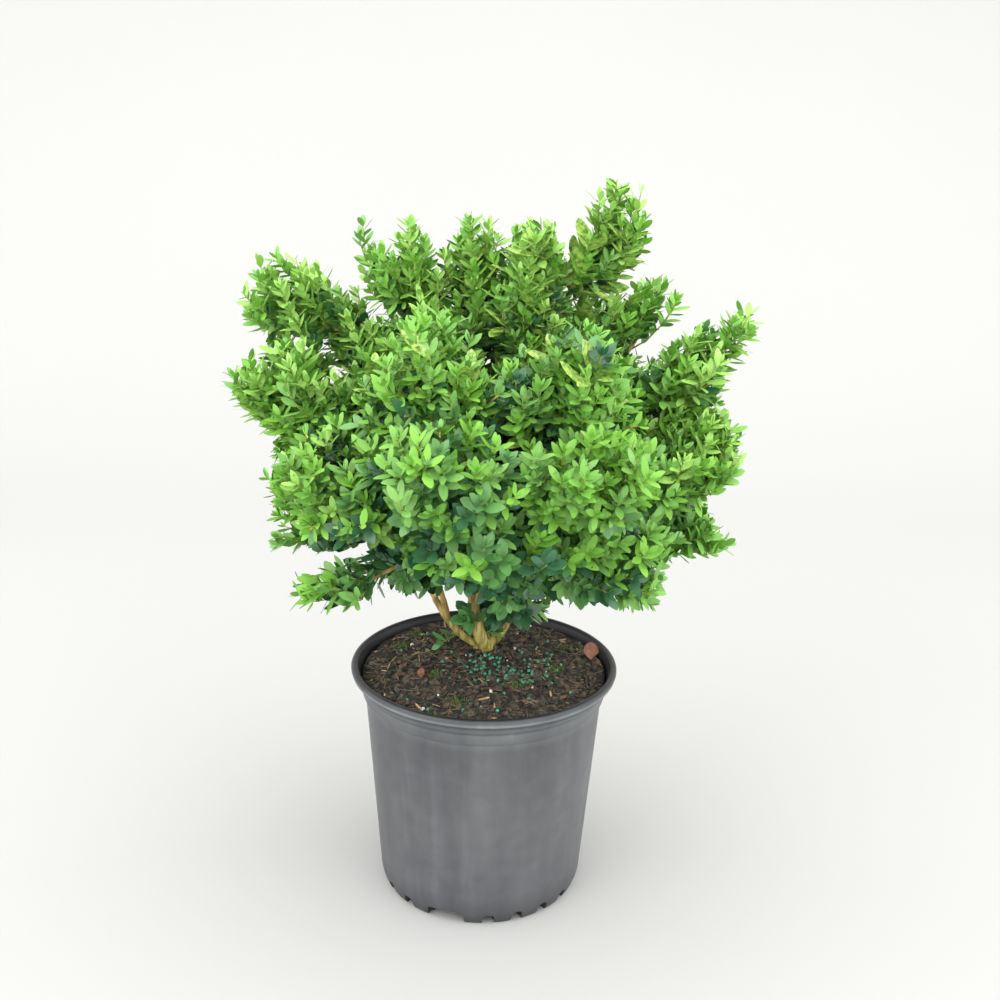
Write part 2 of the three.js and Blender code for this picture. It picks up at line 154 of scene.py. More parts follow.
def finish(name, steps, scale, roughness, bump_scale, bump_depth, stretch=(1, 1, 1), **shader):
    """A material whose colour wanders between tones and whose surface has a fine relief."""
    material = bpy.data.materials.new(name)
    material.use_nodes = True
    base = material.node_tree.nodes["Principled BSDF"]
    base.inputs["Roughness"].default_value = roughness
    for socket, value in shader.items():
        base.inputs[socket.replace("_", " ")].default_value = value
    links = material.node_tree.links
    colour = tones(material, object_noise(material, scale, stretch=stretch), steps)
    links.new(colour, base.inputs["Base Color"])
    relief = add_node(material, "ShaderNodeBump", Distance=bump_depth * MM, Strength=1.0)
    links.new(object_noise(material, bump_scale, detail=4, stretch=stretch), relief.inputs["Height"])
    links.new(relief.outputs["Normal"], base.inputs["Normal"])
    return material


print("finishes are made of noise, tones and a fine relief")


# %% [markdown]
# A piece is either modelled from a primitive, or, where there are thousands of leaves or
# chips, filled in from arrays of points and faces, which is far quicker. Either way it ends the
# same: it gets its name and its finish, and stands in for the solids it replaces.

# %% Helpers for pieces
def clear_selection():
    bpy.ops.object.select_all(action="DESELECT")


def settle(piece, name, material, slot, *nodes):
    """Names a finished piece, gives it its finish, and lets it stand for its solids."""
    piece.name = name
    piece.data.name = name
    piece.data.materials.clear()
    piece.data.materials.append(material)
    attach(piece, BODY)
    if nodes:
        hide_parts(*nodes)
    piece.data.calc_loop_triangles()
    print(name + ":", len(piece.data.loop_triangles), "triangles")
    return piece


def mesh_piece(name, points, faces, smooth=True):
    """An object from arrays of points in millimetres and of faces that all have the same sides."""
    points, faces = np.asarray(points, float), np.asarray(faces, int)
    mesh = bpy.data.meshes.new(name)
    mesh.vertices.add(len(points))
    mesh.vertices.foreach_set("co", (points * MM).astype(np.float32).ravel())
    mesh.loops.add(faces.size)
    mesh.loops.foreach_set("vertex_index", faces.astype(np.int32).ravel())
    mesh.polygons.add(len(faces))
    mesh.polygons.foreach_set("loop_start", np.arange(len(faces), dtype=np.int32) * faces.shape[1])
    mesh.update(calc_edges=True)
    mesh.polygons.foreach_set("use_smooth", np.full(len(faces), smooth))
    piece = bpy.data.objects.new(name, mesh)
    bpy.context.scene.collection.objects.link(piece)
    return piece


def make_active(piece):
    clear_selection()
    piece.select_set(True)
    bpy.context.view_layer.objects.active = piece


print("pieces will ride on the body", BODY)


# %% [markdown]
# The floor is a pale sheet that sweeps up behind the plant, as in a studio, so no line shows
# where floor and wall meet. It is a plane whose back edge is pulled straight up, and whose
# corner is then rounded wide by a bevel.

# %% Floor
SWEEP_WIDTH = 14.0
SWEEP_FRONT = -7.0
SWEEP_BACK = 2.6
SWEEP_HEIGHT = 5.0
SWEEP_BEND = 1.6

clear_selection()
bpy.ops.mesh.primitive_plane_add(size=1, location=(0, 0, 0))
floor = bpy.context.object
floor.name = "floor"
bpy.ops.object.mode_set(mode="EDIT")
bpy.ops.mesh.select_all(action="SELECT")
bpy.ops.transform.resize(value=(SWEEP_WIDTH, SWEEP_BACK - SWEEP_FRONT, 1))
bpy.ops.transform.translate(value=(0, (SWEEP_BACK + SWEEP_FRONT) / 2, 0))
bpy.ops.object.mode_set(mode="OBJECT")
for edge in floor.data.edges:
    edge.select = all(floor.data.vertices[v].co.y > 0 for v in edge.vertices)
for vertex in floor.data.vertices:
    vertex.select = vertex.co.y > 0
floor.data.polygons[0].select = False
bpy.ops.object.mode_set(mode="EDIT")
bpy.ops.mesh.extrude_region_move(TRANSFORM_OT_translate={"value": (0, 0, SWEEP_HEIGHT)})
bpy.ops.object.mode_set(mode="OBJECT")
bend = floor.modifiers.new("sweep", "BEVEL")
bend.width = SWEEP_BEND
bend.segments = 24
make_active(floor)
bpy.ops.object.modifier_apply(modifier="sweep")
bpy.ops.object.shade_smooth()
pale_tones = [(0.3, linear(173, 173, 172)), (0.7, linear(175, 175, 174))]
floor.data.materials.append(finish("pale sheet", pale_tones, 0.6, 0.9, 40, 0.1))
print("floor sweep", SWEEP_WIDTH, "m wide, with", len(floor.data.polygons), "faces")


# %% [markdown]
# Most of the light comes from all round, as in a light tent, with one large soft lamp in front
# at the left, a weaker one at the right and one above. A single hard lamp would throw shadows
# that the photograph doesn't have.

# %% Light
WORLD_STRENGTH = 2.35
LAMP_SIZE = 1.8
AIM = Vector((0, 0, 0.35))
LAMPS = {
    "key_lamp": ((-2.0, -1.9, 1.8), 27),
    "fill_lamp": ((1.9, -1.6, 1.5), 15),
    "top_lamp": ((0.1, 0.3, 2.4), 12),
}

world = bpy.data.worlds.new("soft studio")
world.use_nodes = True
world.node_tree.nodes["Background"].inputs["Color"].default_value = (1.0, 1.0, 0.985, 1)
world.node_tree.nodes["Background"].inputs["Strength"].default_value = WORLD_STRENGTH
bpy.context.scene.world = world
bpy.context.scene.view_settings.view_transform = "Standard"
for name, (place, power) in LAMPS.items():
    lamp = bpy.data.objects.new(name, bpy.data.lights.new(name, "AREA"))
    lamp.data.shape = "SQUARE"
    lamp.data.size = LAMP_SIZE
    lamp.data.energy = power
    lamp.location = place
    lamp.rotation_euler = (AIM - Vector(place)).to_track_quat("-Z", "Y").to_euler()
    bpy.context.scene.collection.objects.link(lamp)
print("soft lamps:", {name: power for name, (place, power) in LAMPS.items()})


# %% [markdown]
# The pot is one thin moulded shell that is the same all the way round, so its outline is all that
# has to be drawn: from the middle of its underside over the foot ring, up the outside, over the
# stepped and rolled lip, down the inside and back to the middle.

# %% The pot's outline
POT = {
    "height": 199,
    "lip_radius": 111,
    "lip_thickness": 6,
    "wall_top": (99, 171),
    "wall_bottom": (87, 14),
    "wall_thickness": 2,
    "foot_radius": 83,
    "foot_depth": 7,
    "floor_underside": 9,
    "floor_thickness": 2.5,
    "sides": 132,
}
CENTRE_RADIUS = 0.5


def wall_radius(z):
    (top, high), (bottom, low) = POT["wall_top"], POT["wall_bottom"]
    return bottom + (top - bottom) * (z - low) / (high - low)


def arc(centre, radius, start, end, steps):
    """Points on an arc of an outline, angles in degrees from straight out."""
    turns = [math.radians(start + (end - start) * k / steps) for k in range(steps + 1)]
    return [(centre[0] + radius * math.cos(t), centre[1] + radius * math.sin(t)) for t in turns]


def pot_outline():
    height, lip, rim = POT["height"], POT["lip_radius"], POT["lip_thickness"] / 2
    (wall_top, step), (wall_bottom, knee) = POT["wall_top"], POT["wall_bottom"]
    foot, ring, thick = POT["foot_radius"], POT["foot_depth"], POT["wall_thickness"]
    base = POT["floor_underside"]
    inside = base + POT["floor_thickness"]
    outline = [(CENTRE_RADIUS, base), (foot - ring - 1, base), (foot - ring, base - 0.8)]
    outline += [(foot - ring, 0.5), (foot - ring + 0.5, 0), (foot - 0.7, 0), (foot, 0.6)]
    outline += [(foot + 1.6, 3.2), (foot + 2.9, 7), (wall_bottom - 0.25, 11), (wall_bottom, knee)]
    outline += [(wall_radius(z), z) for z in (40, 75, 110, 145)]
    outline += [(wall_top, step), (wall_top + 0.8, step + 1.6), (wall_top + 2.2, step + 3)]
    outline += [(wall_top + 2.7, step + 4.4), (lip - 8.8, height - 17), (lip - 8.3, height - 15.4)]
    outline += [(lip - 5.4, height - 12.6), (lip - 4.9, height - 11.4), (lip - 5.2, height - 9.4)]
    outline += [(lip - 3.6, height - 7.6), (lip - 0.8, height - 6.2)]
    outline += arc((lip - rim, height - rim), rim, -35, 155, 8)
    outline += [(lip - 2 * rim - 0.7, height - 5), (lip - 2 * rim - 1.5, height - 8)]
    outline += [(wall_top - thick, step), (wall_radius(100) - thick, 100)]
    outline += [(wall_radius(inside + 3) - thick, inside + 3), (wall_radius(inside) - thick - 3, inside)]
    return outline + [(CENTRE_RADIUS, inside)]


print("the pot's outline has", len(pot_outline()), "points")


# %% [markdown]
# Spinning the outline would need its last and first copies merged. Instead a circle's ring of
# edges is extruded again and again, each time moved up and scaled to the next radius of the
# outline. The shell closes by itself, and the soil and the stems' flare are turned the same way.

# %% Turning a shell
def turned_shell(outline, sides):
    """A closed shell that follows an outline of (radius, height) round the upright axis."""
    (radius, height), *rest = [(r * MM, z * MM) for r, z in outline]
    clear_selection()
    bpy.ops.mesh.primitive_circle_add(vertices=sides, radius=radius, fill_type="NGON")
    shell = bpy.context.object
    bpy.ops.object.mode_set(mode="EDIT")
    bpy.ops.mesh.select_all(action="SELECT")
    bpy.ops.transform.translate(value=(0, 0, height))
    for next_radius, next_height in rest:
        rise = (0, 0, next_height - height)
        bpy.ops.mesh.extrude_region_move(TRANSFORM_OT_translate={"value": rise})
        ratio = next_radius / radius
        bpy.ops.transform.resize(value=(ratio, ratio, 1), center_override=(0, 0, next_height))
        radius, height = next_radius, next_height
    bpy.ops.mesh.select_all(action="SELECT")
    bpy.ops.mesh.normals_make_consistent(inside=False)
    bpy.ops.object.mode_set(mode="OBJECT")
    return shell


pot = turned_shell(pot_outline(), POT["sides"])
print("pot shell:", len(pot.data.vertices), "points")


# %% [markdown]
# Such a pot stands on a foot ring that is cut into short feet, by narrow gaps and by two wider
# arches for water to run off. One block with rounded edges is made for each opening, turned to
# its place, and all of them are cut out together by one boolean, which is quicker than many.

# %% Feet
FOOT = {"count": 22, "first": -3, "gap": (10, 10), "arch": (32, 11), "arches_over": (-1, 10)}
CUTTER = {"depth": 16, "further_out": 3, "rounding": 0.42}
SMOOTH_BELOW = 38


def foot_cutter(width, height, turn):
    """A block with rounded upper edges, to cut one opening through the foot ring."""
    clear_selection()
    bpy.ops.mesh.primitive_cube_add(size=1, location=(0, 0, 0))
    cutter = bpy.context.object
    bpy.ops.object.mode_set(mode="EDIT")
    bpy.ops.transform.resize(value=(width * MM, CUTTER["depth"] * MM, 2 * height * MM))
    bpy.ops.object.mode_set(mode="OBJECT")
    rounding = cutter.modifiers.new("rounding", "BEVEL")
    rounding.width = CUTTER["rounding"] * height * MM
    rounding.segments = 3
    rounding.limit_method = "ANGLE"
    make_active(cutter)
    bpy.ops.object.modifier_apply(modifier="rounding")
    middle = POT["foot_radius"] - POT["foot_depth"] / 2 + CUTTER["further_out"]
    place = Matrix.Rotation(math.radians(turn), 4, "Z") @ Matrix.Translation((0, -middle * MM, 0))
    cutter.data.transform(place)
    return cutter


pitch = 360 / FOOT["count"]
replaced = {(foot + side) % FOOT["count"] for foot in FOOT["arches_over"] for side in (-1, 0)}
cutters = [foot_cutter(*FOOT["arch"], FOOT["first"] + foot * pitch) for foot in FOOT["arches_over"]]
for gap in range(FOOT["count"]):
    if gap not in replaced:
        cutters.append(foot_cutter(*FOOT["gap"], FOOT["first"] + (gap + 0.5) * pitch))
make_active(cutters[0])
for cutter in cutters:
    cutter.select_set(True)
bpy.ops.object.join()
cut = pot.modifiers.new("feet", "BOOLEAN")
cut.operation = "DIFFERENCE"
cut.solver = "EXACT"
cut.object = cutters[0]
make_active(pot)
bpy.ops.object.modifier_apply(modifier="feet")
bpy.data.objects.remove(cutters[0])
bpy.ops.object.shade_smooth_by_angle(angle=math.radians(SMOOTH_BELOW))
print("openings cut through the foot ring:", len(cutters))


# %% [markdown]
# The pot's inner wall is painted darker than the outside at the same height, as shade in the pot's
# hollow, so the finish has to know which is which. Each point of the mesh keeps how far its normal
# looks towards the axis.

# %% Inner and outer wall
facing = []
for vertex in pot.data.vertices:
    outwards = Vector((vertex.co.x, vertex.co.y, 0)).normalized()
    facing.append(-vertex.normal.dot(outwards))
inner = pot.data.attributes.new("inner", "FLOAT", "POINT")
inner.data.foreach_set("value", np.clip(np.array(facing) * 2 + 0.2, 0, 1).astype(np.float32))
print("points that face the axis:", sum(share > 0.5 for share in facing))


# %% [markdown]
# Black pots look grey on the wall, partly from dust and partly from a painted sheen, and stay
# nearly black inside, where painted shade darkens them further. The steps of the lip get painted
# highlights on their edges and painted shade in their grooves, and the wall darkens towards the
# foot, so height decides the tone there. Three noises vary it: two drawn out upwards, painted
# streaks of sheen and of reflected light, and one fine and blotchy, the dust.

# %% Pot finish
# Tones by height: darker towards the foot, the grey wall of dust and painted sheen, then pale bands as
# painted highlights on the lip's step edges and dark ones as painted shade in its grooves.
LIP_LIGHT_AND_WALL_TONES = (
    (0.0, (44, 48, 49)),
    (0.05, (62, 64, 67)),
    (0.14, (79, 80, 84)),
    (0.5, (82, 83, 86)),
    (0.83, (77, 79, 82)),
    (0.862, (91, 93, 96)),
    (0.885, (84, 86, 89)),
    (0.91, (92, 95, 98)),
    (0.922, (74, 76, 78)),
    (0.938, (92, 95, 98)),
    (0.952, (66, 68, 70)),
    (0.964, (92, 95, 98)),
    (0.976, (112, 116, 120)),
    (0.988, (62, 64, 67)),
    (1.0, (34, 35, 37)),
)
# Painted sheen streaks up the wall, then narrower streaks of painted reflected light.
SHEEN_STREAK_TONES = [(0.3, (0.76, 0.77, 0.79, 1)), (0.5, (1, 1, 1, 1)), (0.68, (1.2, 1.19, 1.18, 1))]
REFLECTION_STREAK_TONES = [(0.54, (0.98, 0.98, 0.98, 1)), (0.64, (1.06, 1.06, 1.07, 1)), (0.74, (1.15, 1.15, 1.18, 1))]
BLOTCH_TONES = [(0.35, (0.9, 0.9, 0.9, 1)), (0.65, (1.06, 1.06, 1.05, 1))]
# Painted shade that darkens the inner wall.
INSIDE_SHADE_TONES = [(0.0, (1, 1, 1, 1)), (0.5, (0.16, 0.16, 0.17, 1))]


def share_of_height(material, low, high):
    """From 0 at one height of the piece to 1 at another."""
    place = add_node(material, "ShaderNodeTexCoord")
    split = add_node(material, "ShaderNodeSeparateXYZ")
    share = add_node(material, "ShaderNodeMapRange")
    share.inputs["From Min"].default_value = low * MM
    share.inputs["From Max"].default_value = high * MM
    material.node_tree.links.new(place.outputs["Object"], split.inputs["Vector"])
    material.node_tree.links.new(split.outputs["Z"], share.inputs["Value"])
    return share.outputs["Result"]


def pot_plastic():
    material = bpy.data.materials.new("dusty black plastic")
    material.use_nodes = True
    links = material.node_tree.links
    base = material.node_tree.nodes["Principled BSDF"]
    base.inputs["Roughness"].default_value = 0.42
    base.inputs["Specular IOR Level"].default_value = 0.5
    height = share_of_height(material, 0, POT["height"])
    # Painted highlights and shade on the lip's steps, dust and painted sheen on the wall.
    wall = tones(material, height, [(share, linear(*colour)) for share, colour in LIP_LIGHT_AND_WALL_TONES])
    inner = add_node(material, "ShaderNodeAttribute", attribute_name="inner")
    # Painted shade on the inner wall.
    inside = tones(material, inner.outputs["Fac"], INSIDE_SHADE_TONES)
    # Painted sheen streaks and narrower streaks of painted reflected light, over blotches of dust.
    sheen_streaks = tones(material, object_noise(material, 34, 5, stretch=(1, 1, 0.12)), SHEEN_STREAK_TONES)
    reflection_streaks = tones(material, object_noise(material, 95, 2, stretch=(1, 1, 0.05)), REFLECTION_STREAK_TONES)
    blotches = tones(material, object_noise(material, 70, 5), BLOTCH_TONES)
    dust_and_painted_light = multiplied(material, multiplied(material, wall, inside), sheen_streaks)
    blotches_and_reflections = multiplied(material, blotches, reflection_streaks)
    links.new(multiplied(material, dust_and_painted_light, blotches_and_reflections), base.inputs["Base Color"])
    relief = add_node(material, "ShaderNodeBump", Distance=0.12 * MM, Strength=1.0)
    links.new(object_noise(material, 240, detail=4), relief.inputs["Height"])
    links.new(relief.outputs["Normal"], base.inputs["Normal"])
    return material


settle(pot, "pot_shell", pot_plastic(), "pot", "pot")


# %% [markdown]
# The stems and the crown come next. They grow by the same rule as the solids: the same routes,
# the same masses and the same seeded draws, so every stem, bough and twig of the solids is found
# again here. A line is a row of points that can be asked for a place or a direction at any share
# of its length.

# %% Lines
UP = np.array([0.0, 0.0, 1.0])
GAP = 0.3


def unit(vector):
    return vector / np.linalg.norm(vector)


def mix(start, end, share):
    return start + (end - start) * share


class Line:
    def __init__(self, points):
        self.points = np.asarray(points, float)
        self.steps = np.diff(self.points, axis=0)
        self.reached = np.concatenate([[0], np.cumsum(np.linalg.norm(self.steps, axis=1))])
        self.length = self.reached[-1]

    def at(self, share):
        return np.array([np.interp(share * self.length, self.reached, column) for column in self.points.T])

    def way(self, share):
        step = np.searchsorted(self.reached, share * self.length, side="right") - 1
        return unit(self.steps[min(max(step, 0), len(self.steps) - 1)])

    def spaced(self, count):
        return np.array([self.at(k / count) for k in range(count + 1)])


def bent(start, turning, end, count=12):
    """A curve that sets out from start towards turning and comes in to end from there."""
    t = np.linspace(0, 1, count + 1)[:, None]
    return Line((1 - t) ** 2 * start + 2 * t * (1 - t) * turning + t**2 * end)


def through(points, per_stretch=60):
    """A smooth curve through points, each stretch paced by the root of its length."""
    points = [np.asarray(p, float) for p in points]
    points = [2 * points[0] - points[1], *points, 2 * points[-1] - points[-2]]
    curve = []
    for a, b, c, d in zip(points, points[1:], points[2:], points[3:]):
        before, during, after = (np.linalg.norm(q - p) ** 0.5 for p, q in ((a, b), (b, c), (c, d)))
        start = ((b - a) / before - (c - a) / (before + during) + (c - b) / during) * during
        end = ((c - b) / during - (d - b) / (during + after) + (d - c) / after) * during
        t = np.linspace(0, 1, per_stretch, endpoint=False)[:, None]
        square, cube = 3 * (c - b) - 2 * start - end, 2 * (b - c) + start + end
        curve.append(b + start * t + square * t**2 + cube * t**3)
    return Line(np.vstack([*curve, points[-2]]))


print("a line through three points:", round(through([UP * 0, UP + 1, UP * 3]).length, 2), "long")


# %% [markdown]
# Chance comes from a seeded run of numbers, the same one as in the source of the solids, so the
# plant is the same plant each time. A twig's way out is square to its parent, at some turn.

# %% Seeded draws
def draws_from(seed):
    """The same seeded run of numbers from 0 to 1 as in the source of the solids."""
    whole = 0xFFFFFFFF
    state = seed & whole

    def draw():
        nonlocal state
        state = (state + 0x6D2B79F5) & whole
        t = ((state ^ (state >> 15)) * (state | 1)) & whole
        t ^= (t + (((t ^ (t >> 7)) * (t | 61)) & whole)) & whole
        return (t ^ (t >> 14)) / 4294967296

    return draw


def beside(heading, turn):
    """A direction square to a heading, turned about it."""
    level = np.cross(heading, UP)
    if np.linalg.norm(level) < 0.2:
        level = np.cross(np.array([1.0, 0.0, 0.0]), heading)
    level = unit(level)
    return level * math.cos(turn) + np.cross(heading, level) * math.sin(turn)


print("first draw of seed 1:", round(draws_from(1)(), 4))


# %% [markdown]
# Each mass of foliage is one row: the stem that bears it, the compass turn of its furthest tip,
# that tip's distance from the pot's axis, its height, and its half width. The photograph gives
# those that show. The others close the crown behind.

# %% Sizes of stems, boughs and masses
SOIL = {"edge_below_lip": 13, "mound_rise": 4}
TRUNK = {"x": -1, "y": 31, "flare_radius": 13, "neck_height": 7, "prong": 20}
STEMS = {
    "left": ([(-14, -1, 14), (-31, -7, 35), (-48, -12, 74)], "left_shoulder", 3.6),
    "middle": ([(-2, -9, 17), (-8, -14, 48), (-12, -20, 110)], "top_middle", 5),
    "right": ([(11, 1, 15), (22, 0, 36), (36, -8, 90)], "top_right", 4.4),
    "back": ([(2, 11, 15), (8, 26, 40), (16, 44, 95)], "back_right_upper", 4.2),
}
LIMB = {"tip_radius": 1.9, "bough_radius": 2.8, "stem_rows": 7, "bough_rows": 3}
BOUGHS = {"lowest": 0.1, "highest": 0.68, "bend": 0.25}
MASSES = {
    "top_right": ("right", -3, 96, 589, 36),
    "top_ridge": ("middle", -20, 52, 556, 34),
    "top_middle": ("middle", 150, 17, 562, 34),
    "top_left": ("left", 178, 68, 560, 36),
    "right_shoulder": ("right", 8, 146, 514, 40),
    "right_upper": ("right", -7, 199, 480, 42),
    "front_right_upper": ("middle", -55, 140, 478, 50),
    "front_left_upper": ("middle", -115, 135, 485, 50),
    "left_shoulder": ("left", 177, 160, 529, 46),
    "back_left_upper": ("back", 130, 130, 492, 50),
    "back_right_upper": ("back", 56, 128, 496, 50),
    "right_side": ("right", -14, 199, 398, 46),
    "front_right_side": ("right", -55, 192, 408, 54),
    "front_left_side": ("middle", -106, 190, 412, 54),
    "left_side": ("left", 184, 203, 424, 46),
    "left_front_side": ("left", -146, 190, 380, 50),
    "back_left_side": ("back", 122, 194, 402, 54),
    "back_right_side": ("back", 48, 194, 400, 54),
    "right_low": ("right", -7, 190, 308, 44),
    "front_right_low": ("right", -40, 162, 322, 46),
    "front_low": ("middle", -94, 168, 334, 48),
    "front_left_low": ("left", -146, 158, 276, 46),
    "left_low": ("left", 183, 184, 308, 42),
    "back_low": ("back", 96, 166, 290, 50),
    "heart_left": ("left", 200, 92, 300, 50),
    "heart_middle": ("middle", -80, 92, 300, 50),
    "heart_right": ("right", -16, 92, 300, 50),
    "heart_back": ("back", 100, 104, 300, 50),
}
CROWN_HEART = np.array([0.0, 8.0, 318.0])
MASS_START = 0.47
LEAF_OF_SOLIDS = 42
TWIG = {"base_radius": 2.2, "tip_radius": 1.4, "whorls": (0.2, 0.56)}
FOLIAGE = {"lowest": 207, "limb_clearance": 2.2, "space_margin": 0.25, "seed": 1201}

soil_edge = POT["height"] - SOIL["edge_below_lip"]
ground = soil_edge + SOIL["mound_rise"]
trunk_foot = np.array([TRUNK["x"], TRUNK["y"], ground + GAP])
print(len(STEMS), "stems and", len(MASSES), "masses, on soil", ground, "mm up")


# %% [markdown]
# A stem runs through a few points by its offsets from the root crown, and on to the mass that it
# bears. A bough leaves its stem at a share of its length that grows with the height of its mass,
# so the boughs of one stem part in turn from the foot up, and comes in along the mass's own way.

# %% Lines of stems and boughs
def mass_tip(name):
    stem, turn, out, height, half_width = MASSES[name]
    return np.array([out * math.cos(math.radians(turn)), out * math.sin(math.radians(turn)), height])


def mass_start(name):
    return mix(CROWN_HEART, mass_tip(name), MASS_START)


def whole_stem(name):
    route, bears, radius = STEMS[name]
    start = trunk_foot + UP * TRUNK["neck_height"]
    return through([start, *[trunk_foot + np.array(offset) for offset in route], mass_start(bears)])


stem_lines = {name: whole_stem(name) for name in STEMS}
borne = {bears: name for name, (route, bears, radius) in STEMS.items()}


class Mass:
    """One mass of foliage: where it starts and ends, and its spine, the twig it grows from."""

    def __init__(self, name, index):
        self.name = name
        self.stem, turn, out, height, self.half_width = MASSES[name]
        self.tip, self.start = mass_tip(name), mass_start(name)
        self.seed = FOLIAGE["seed"] + index
        span = np.linalg.norm(self.tip - self.start)
        own_way = unit(self.tip - self.start + np.array([self.tip[0], self.tip[1], 0]) * 0.3)
        self.set_out = stem_lines[self.stem].way(1) if name in borne else own_way
        last = mix(self.tip, self.start, LEAF_OF_SOLIDS * 0.85 / span)
        turning = self.start + self.set_out * np.linalg.norm(last - self.start) * 0.5
        self.spine = bent(self.start + self.set_out * GAP, turning, last)
        self.centre = mix(self.start, self.tip, 0.5)


masses = [Mass(name, index) for index, name in enumerate(MASSES)]


def bough_line(mass):
    """The bough that carries a mass, from its stem to where the mass begins."""
    neighbours = [m for m in masses if m.stem == mass.stem and m.name not in borne]
    neighbours.sort(key=lambda m: m.start[2])
    rank = neighbours.index(mass) / (len(neighbours) - 1)
    whole = stem_lines[mass.stem]
    first = (TRUNK["prong"] + GAP) / whole.length
    share = mix(first, 1, mix(BOUGHS["lowest"], BOUGHS["highest"], rank))
    leaves_stem = whole.at(share)
    turning = mass.start - mass.set_out * np.linalg.norm(leaves_stem - mass.start) * BOUGHS["bend"]
    return bent(leaves_stem, turning, mass.start)


bough_lines = {mass.name: bough_line(mass) for mass in masses if mass.name not in borne}
print(len(stem_lines), "stems,", len(bough_lines), "boughs and", len(masses), "masses")


# %% [markdown]
# The pot is filled with bark mix to a little under the lip, a touch higher round the stems. The
# filling is turned like the pot, with rings close enough on top to be pushed up and down by a
# noise, so that its surface is lumpy before any loose bark lies on it.

# %% Soil
SOIL_LUMPS = ((55, 2.6), (160, 1.5), (420, 0.7))
SOIL_RING = 2.0
SOIL_EDGE_RADIUS = 101.5
LOOSE_TOP = 4.5
HIGHER_BEHIND = 0.035


def soil_level(x, y):
    """Height of the filling's surface over a place, in millimetres."""
    out = math.hypot(x, y)
    rise = SOIL["mound_rise"] * min(1, max(0, (POT["wall_top"][0] - 4 - out) / 45))
    lumps = sum(noise.noise(Vector((x, y, 7.0)) * MM * scale) * depth for scale, depth in SOIL_LUMPS)
    return soil_edge - 1 + LOOSE_TOP + rise + lumps + HIGHER_BEHIND * max(0, y)


inset = POT["wall_thickness"] + GAP
soil_bottom = POT["floor_underside"] + POT["floor_thickness"] + GAP
widest = POT["wall_top"][0] - inset
outline = [(CENTRE_RADIUS, soil_bottom), (wall_radius(soil_bottom) - inset - 3.2, soil_bottom)]
outline += [(wall_radius(soil_bottom + 3) - inset, soil_bottom + 3), (widest, POT["wall_top"][1])]
outline += [(SOIL_EDGE_RADIUS - 0.8, soil_edge)]
rings = int(SOIL_EDGE_RADIUS / SOIL_RING)
outline += [(mix(SOIL_EDGE_RADIUS, CENTRE_RADIUS, k / rings), soil_edge + 2) for k in range(rings + 1)]
soil = turned_shell(outline, 150)
for vertex in soil.data.vertices:
    if vertex.co.z > (soil_edge + 1) * MM:
        vertex.co.z = soil_level(vertex.co.x / MM, vertex.co.y / MM) * MM
make_active(soil)
bpy.ops.object.shade_smooth()
peat_tones = [(0.25, linear(20, 18, 17)), (0.5, linear(44, 40, 35))]
peat_tones += [(0.66, linear(82, 72, 58)), (0.8, linear(36, 33, 28))]
settle(soil, "soil_filling", finish("dark bark mix", peat_tones, 190, 0.92, 520, 1.1), "soil", "soil")


# %% [markdown]
# Loose things lie on the filling: chips of bark, splinters, fibres, round pellets of slow feed, a
# little perlite, and moss in patches. Two small shapes serve for all of them: a rough block with
# six sides, stretched to a chip or a fibre, and a ball for the pellets.

# %% Two small shapes
def rough_block():
    """Points and triangles of a six-sided block, about one unit long."""
    rim = [(0.5 * math.cos(t), 0.5 * math.sin(t)) for t in (k * math.pi / 3 for k in range(6))]
    points = [(x, y, 0.5) for x, y in rim] + [(x, y, -0.5) for x, y in rim]
    points += [(0, 0, 0.62), (0, 0, -0.62)]
    after = [(k + 1) % 6 for k in range(6)]
    triangles = [(k, after[k], 12) for k in range(6)] + [(after[k] + 6, k + 6, 13) for k in range(6)]
    triangles += [(k, k + 6, after[k]) for k in range(6)]
    triangles += [(after[k], k + 6, after[k] + 6) for k in range(6)]
    return np.array(points), np.array(triangles)


def round_pellet():
    """Points and triangles of a small ball, one unit across."""
    rings = [(math.sin(t) / 2, math.cos(t) / 2) for t in (math.pi * k / 5 for k in range(1, 5))]
    around = [(math.cos(math.pi * k / 4), math.sin(math.pi * k / 4)) for k in range(8)]
    points = [(r * x, r * y, z) for r, z in rings for x, y in around] + [(0, 0, 0.5), (0, 0, -0.5)]
    top, bottom = 32, 33
    triangles = [(k, (k + 1) % 8, top) for k in range(8)]
    triangles += [(24 + (k + 1) % 8, 24 + k, bottom) for k in range(8)]
    for ring in range(3):
        for k in range(8):
            a, b = ring * 8 + k, ring * 8 + (k + 1) % 8
            triangles += [(a, a + 8, b), (b, a + 8, b + 8)]
    return np.array(points), np.array(triangles)


BLOCK, PELLET = rough_block(), round_pellet()
print("triangles of a block and of a pellet:", len(BLOCK[1]), len(PELLET[1]))


# %% [markdown]
# Thousands of loose pieces as objects of their own would slow everything down, so each kind is
# one mesh of many copies. Every copy is turned, tipped, sized and dented by its own draws, and
# sunk a little into the lumpy surface.

# %% Strewing copies on the soil
SPREAD = 98


def places_on_soil(count, draw, within=SPREAD, keep=lambda x, y: True):
    places = []
    while len(places) < count:
        x, y = mix(-within, within, draw()), mix(-within, within, draw())
        if math.hypot(x, y) < within and keep(x, y):
            places.append((x, y))
    return places


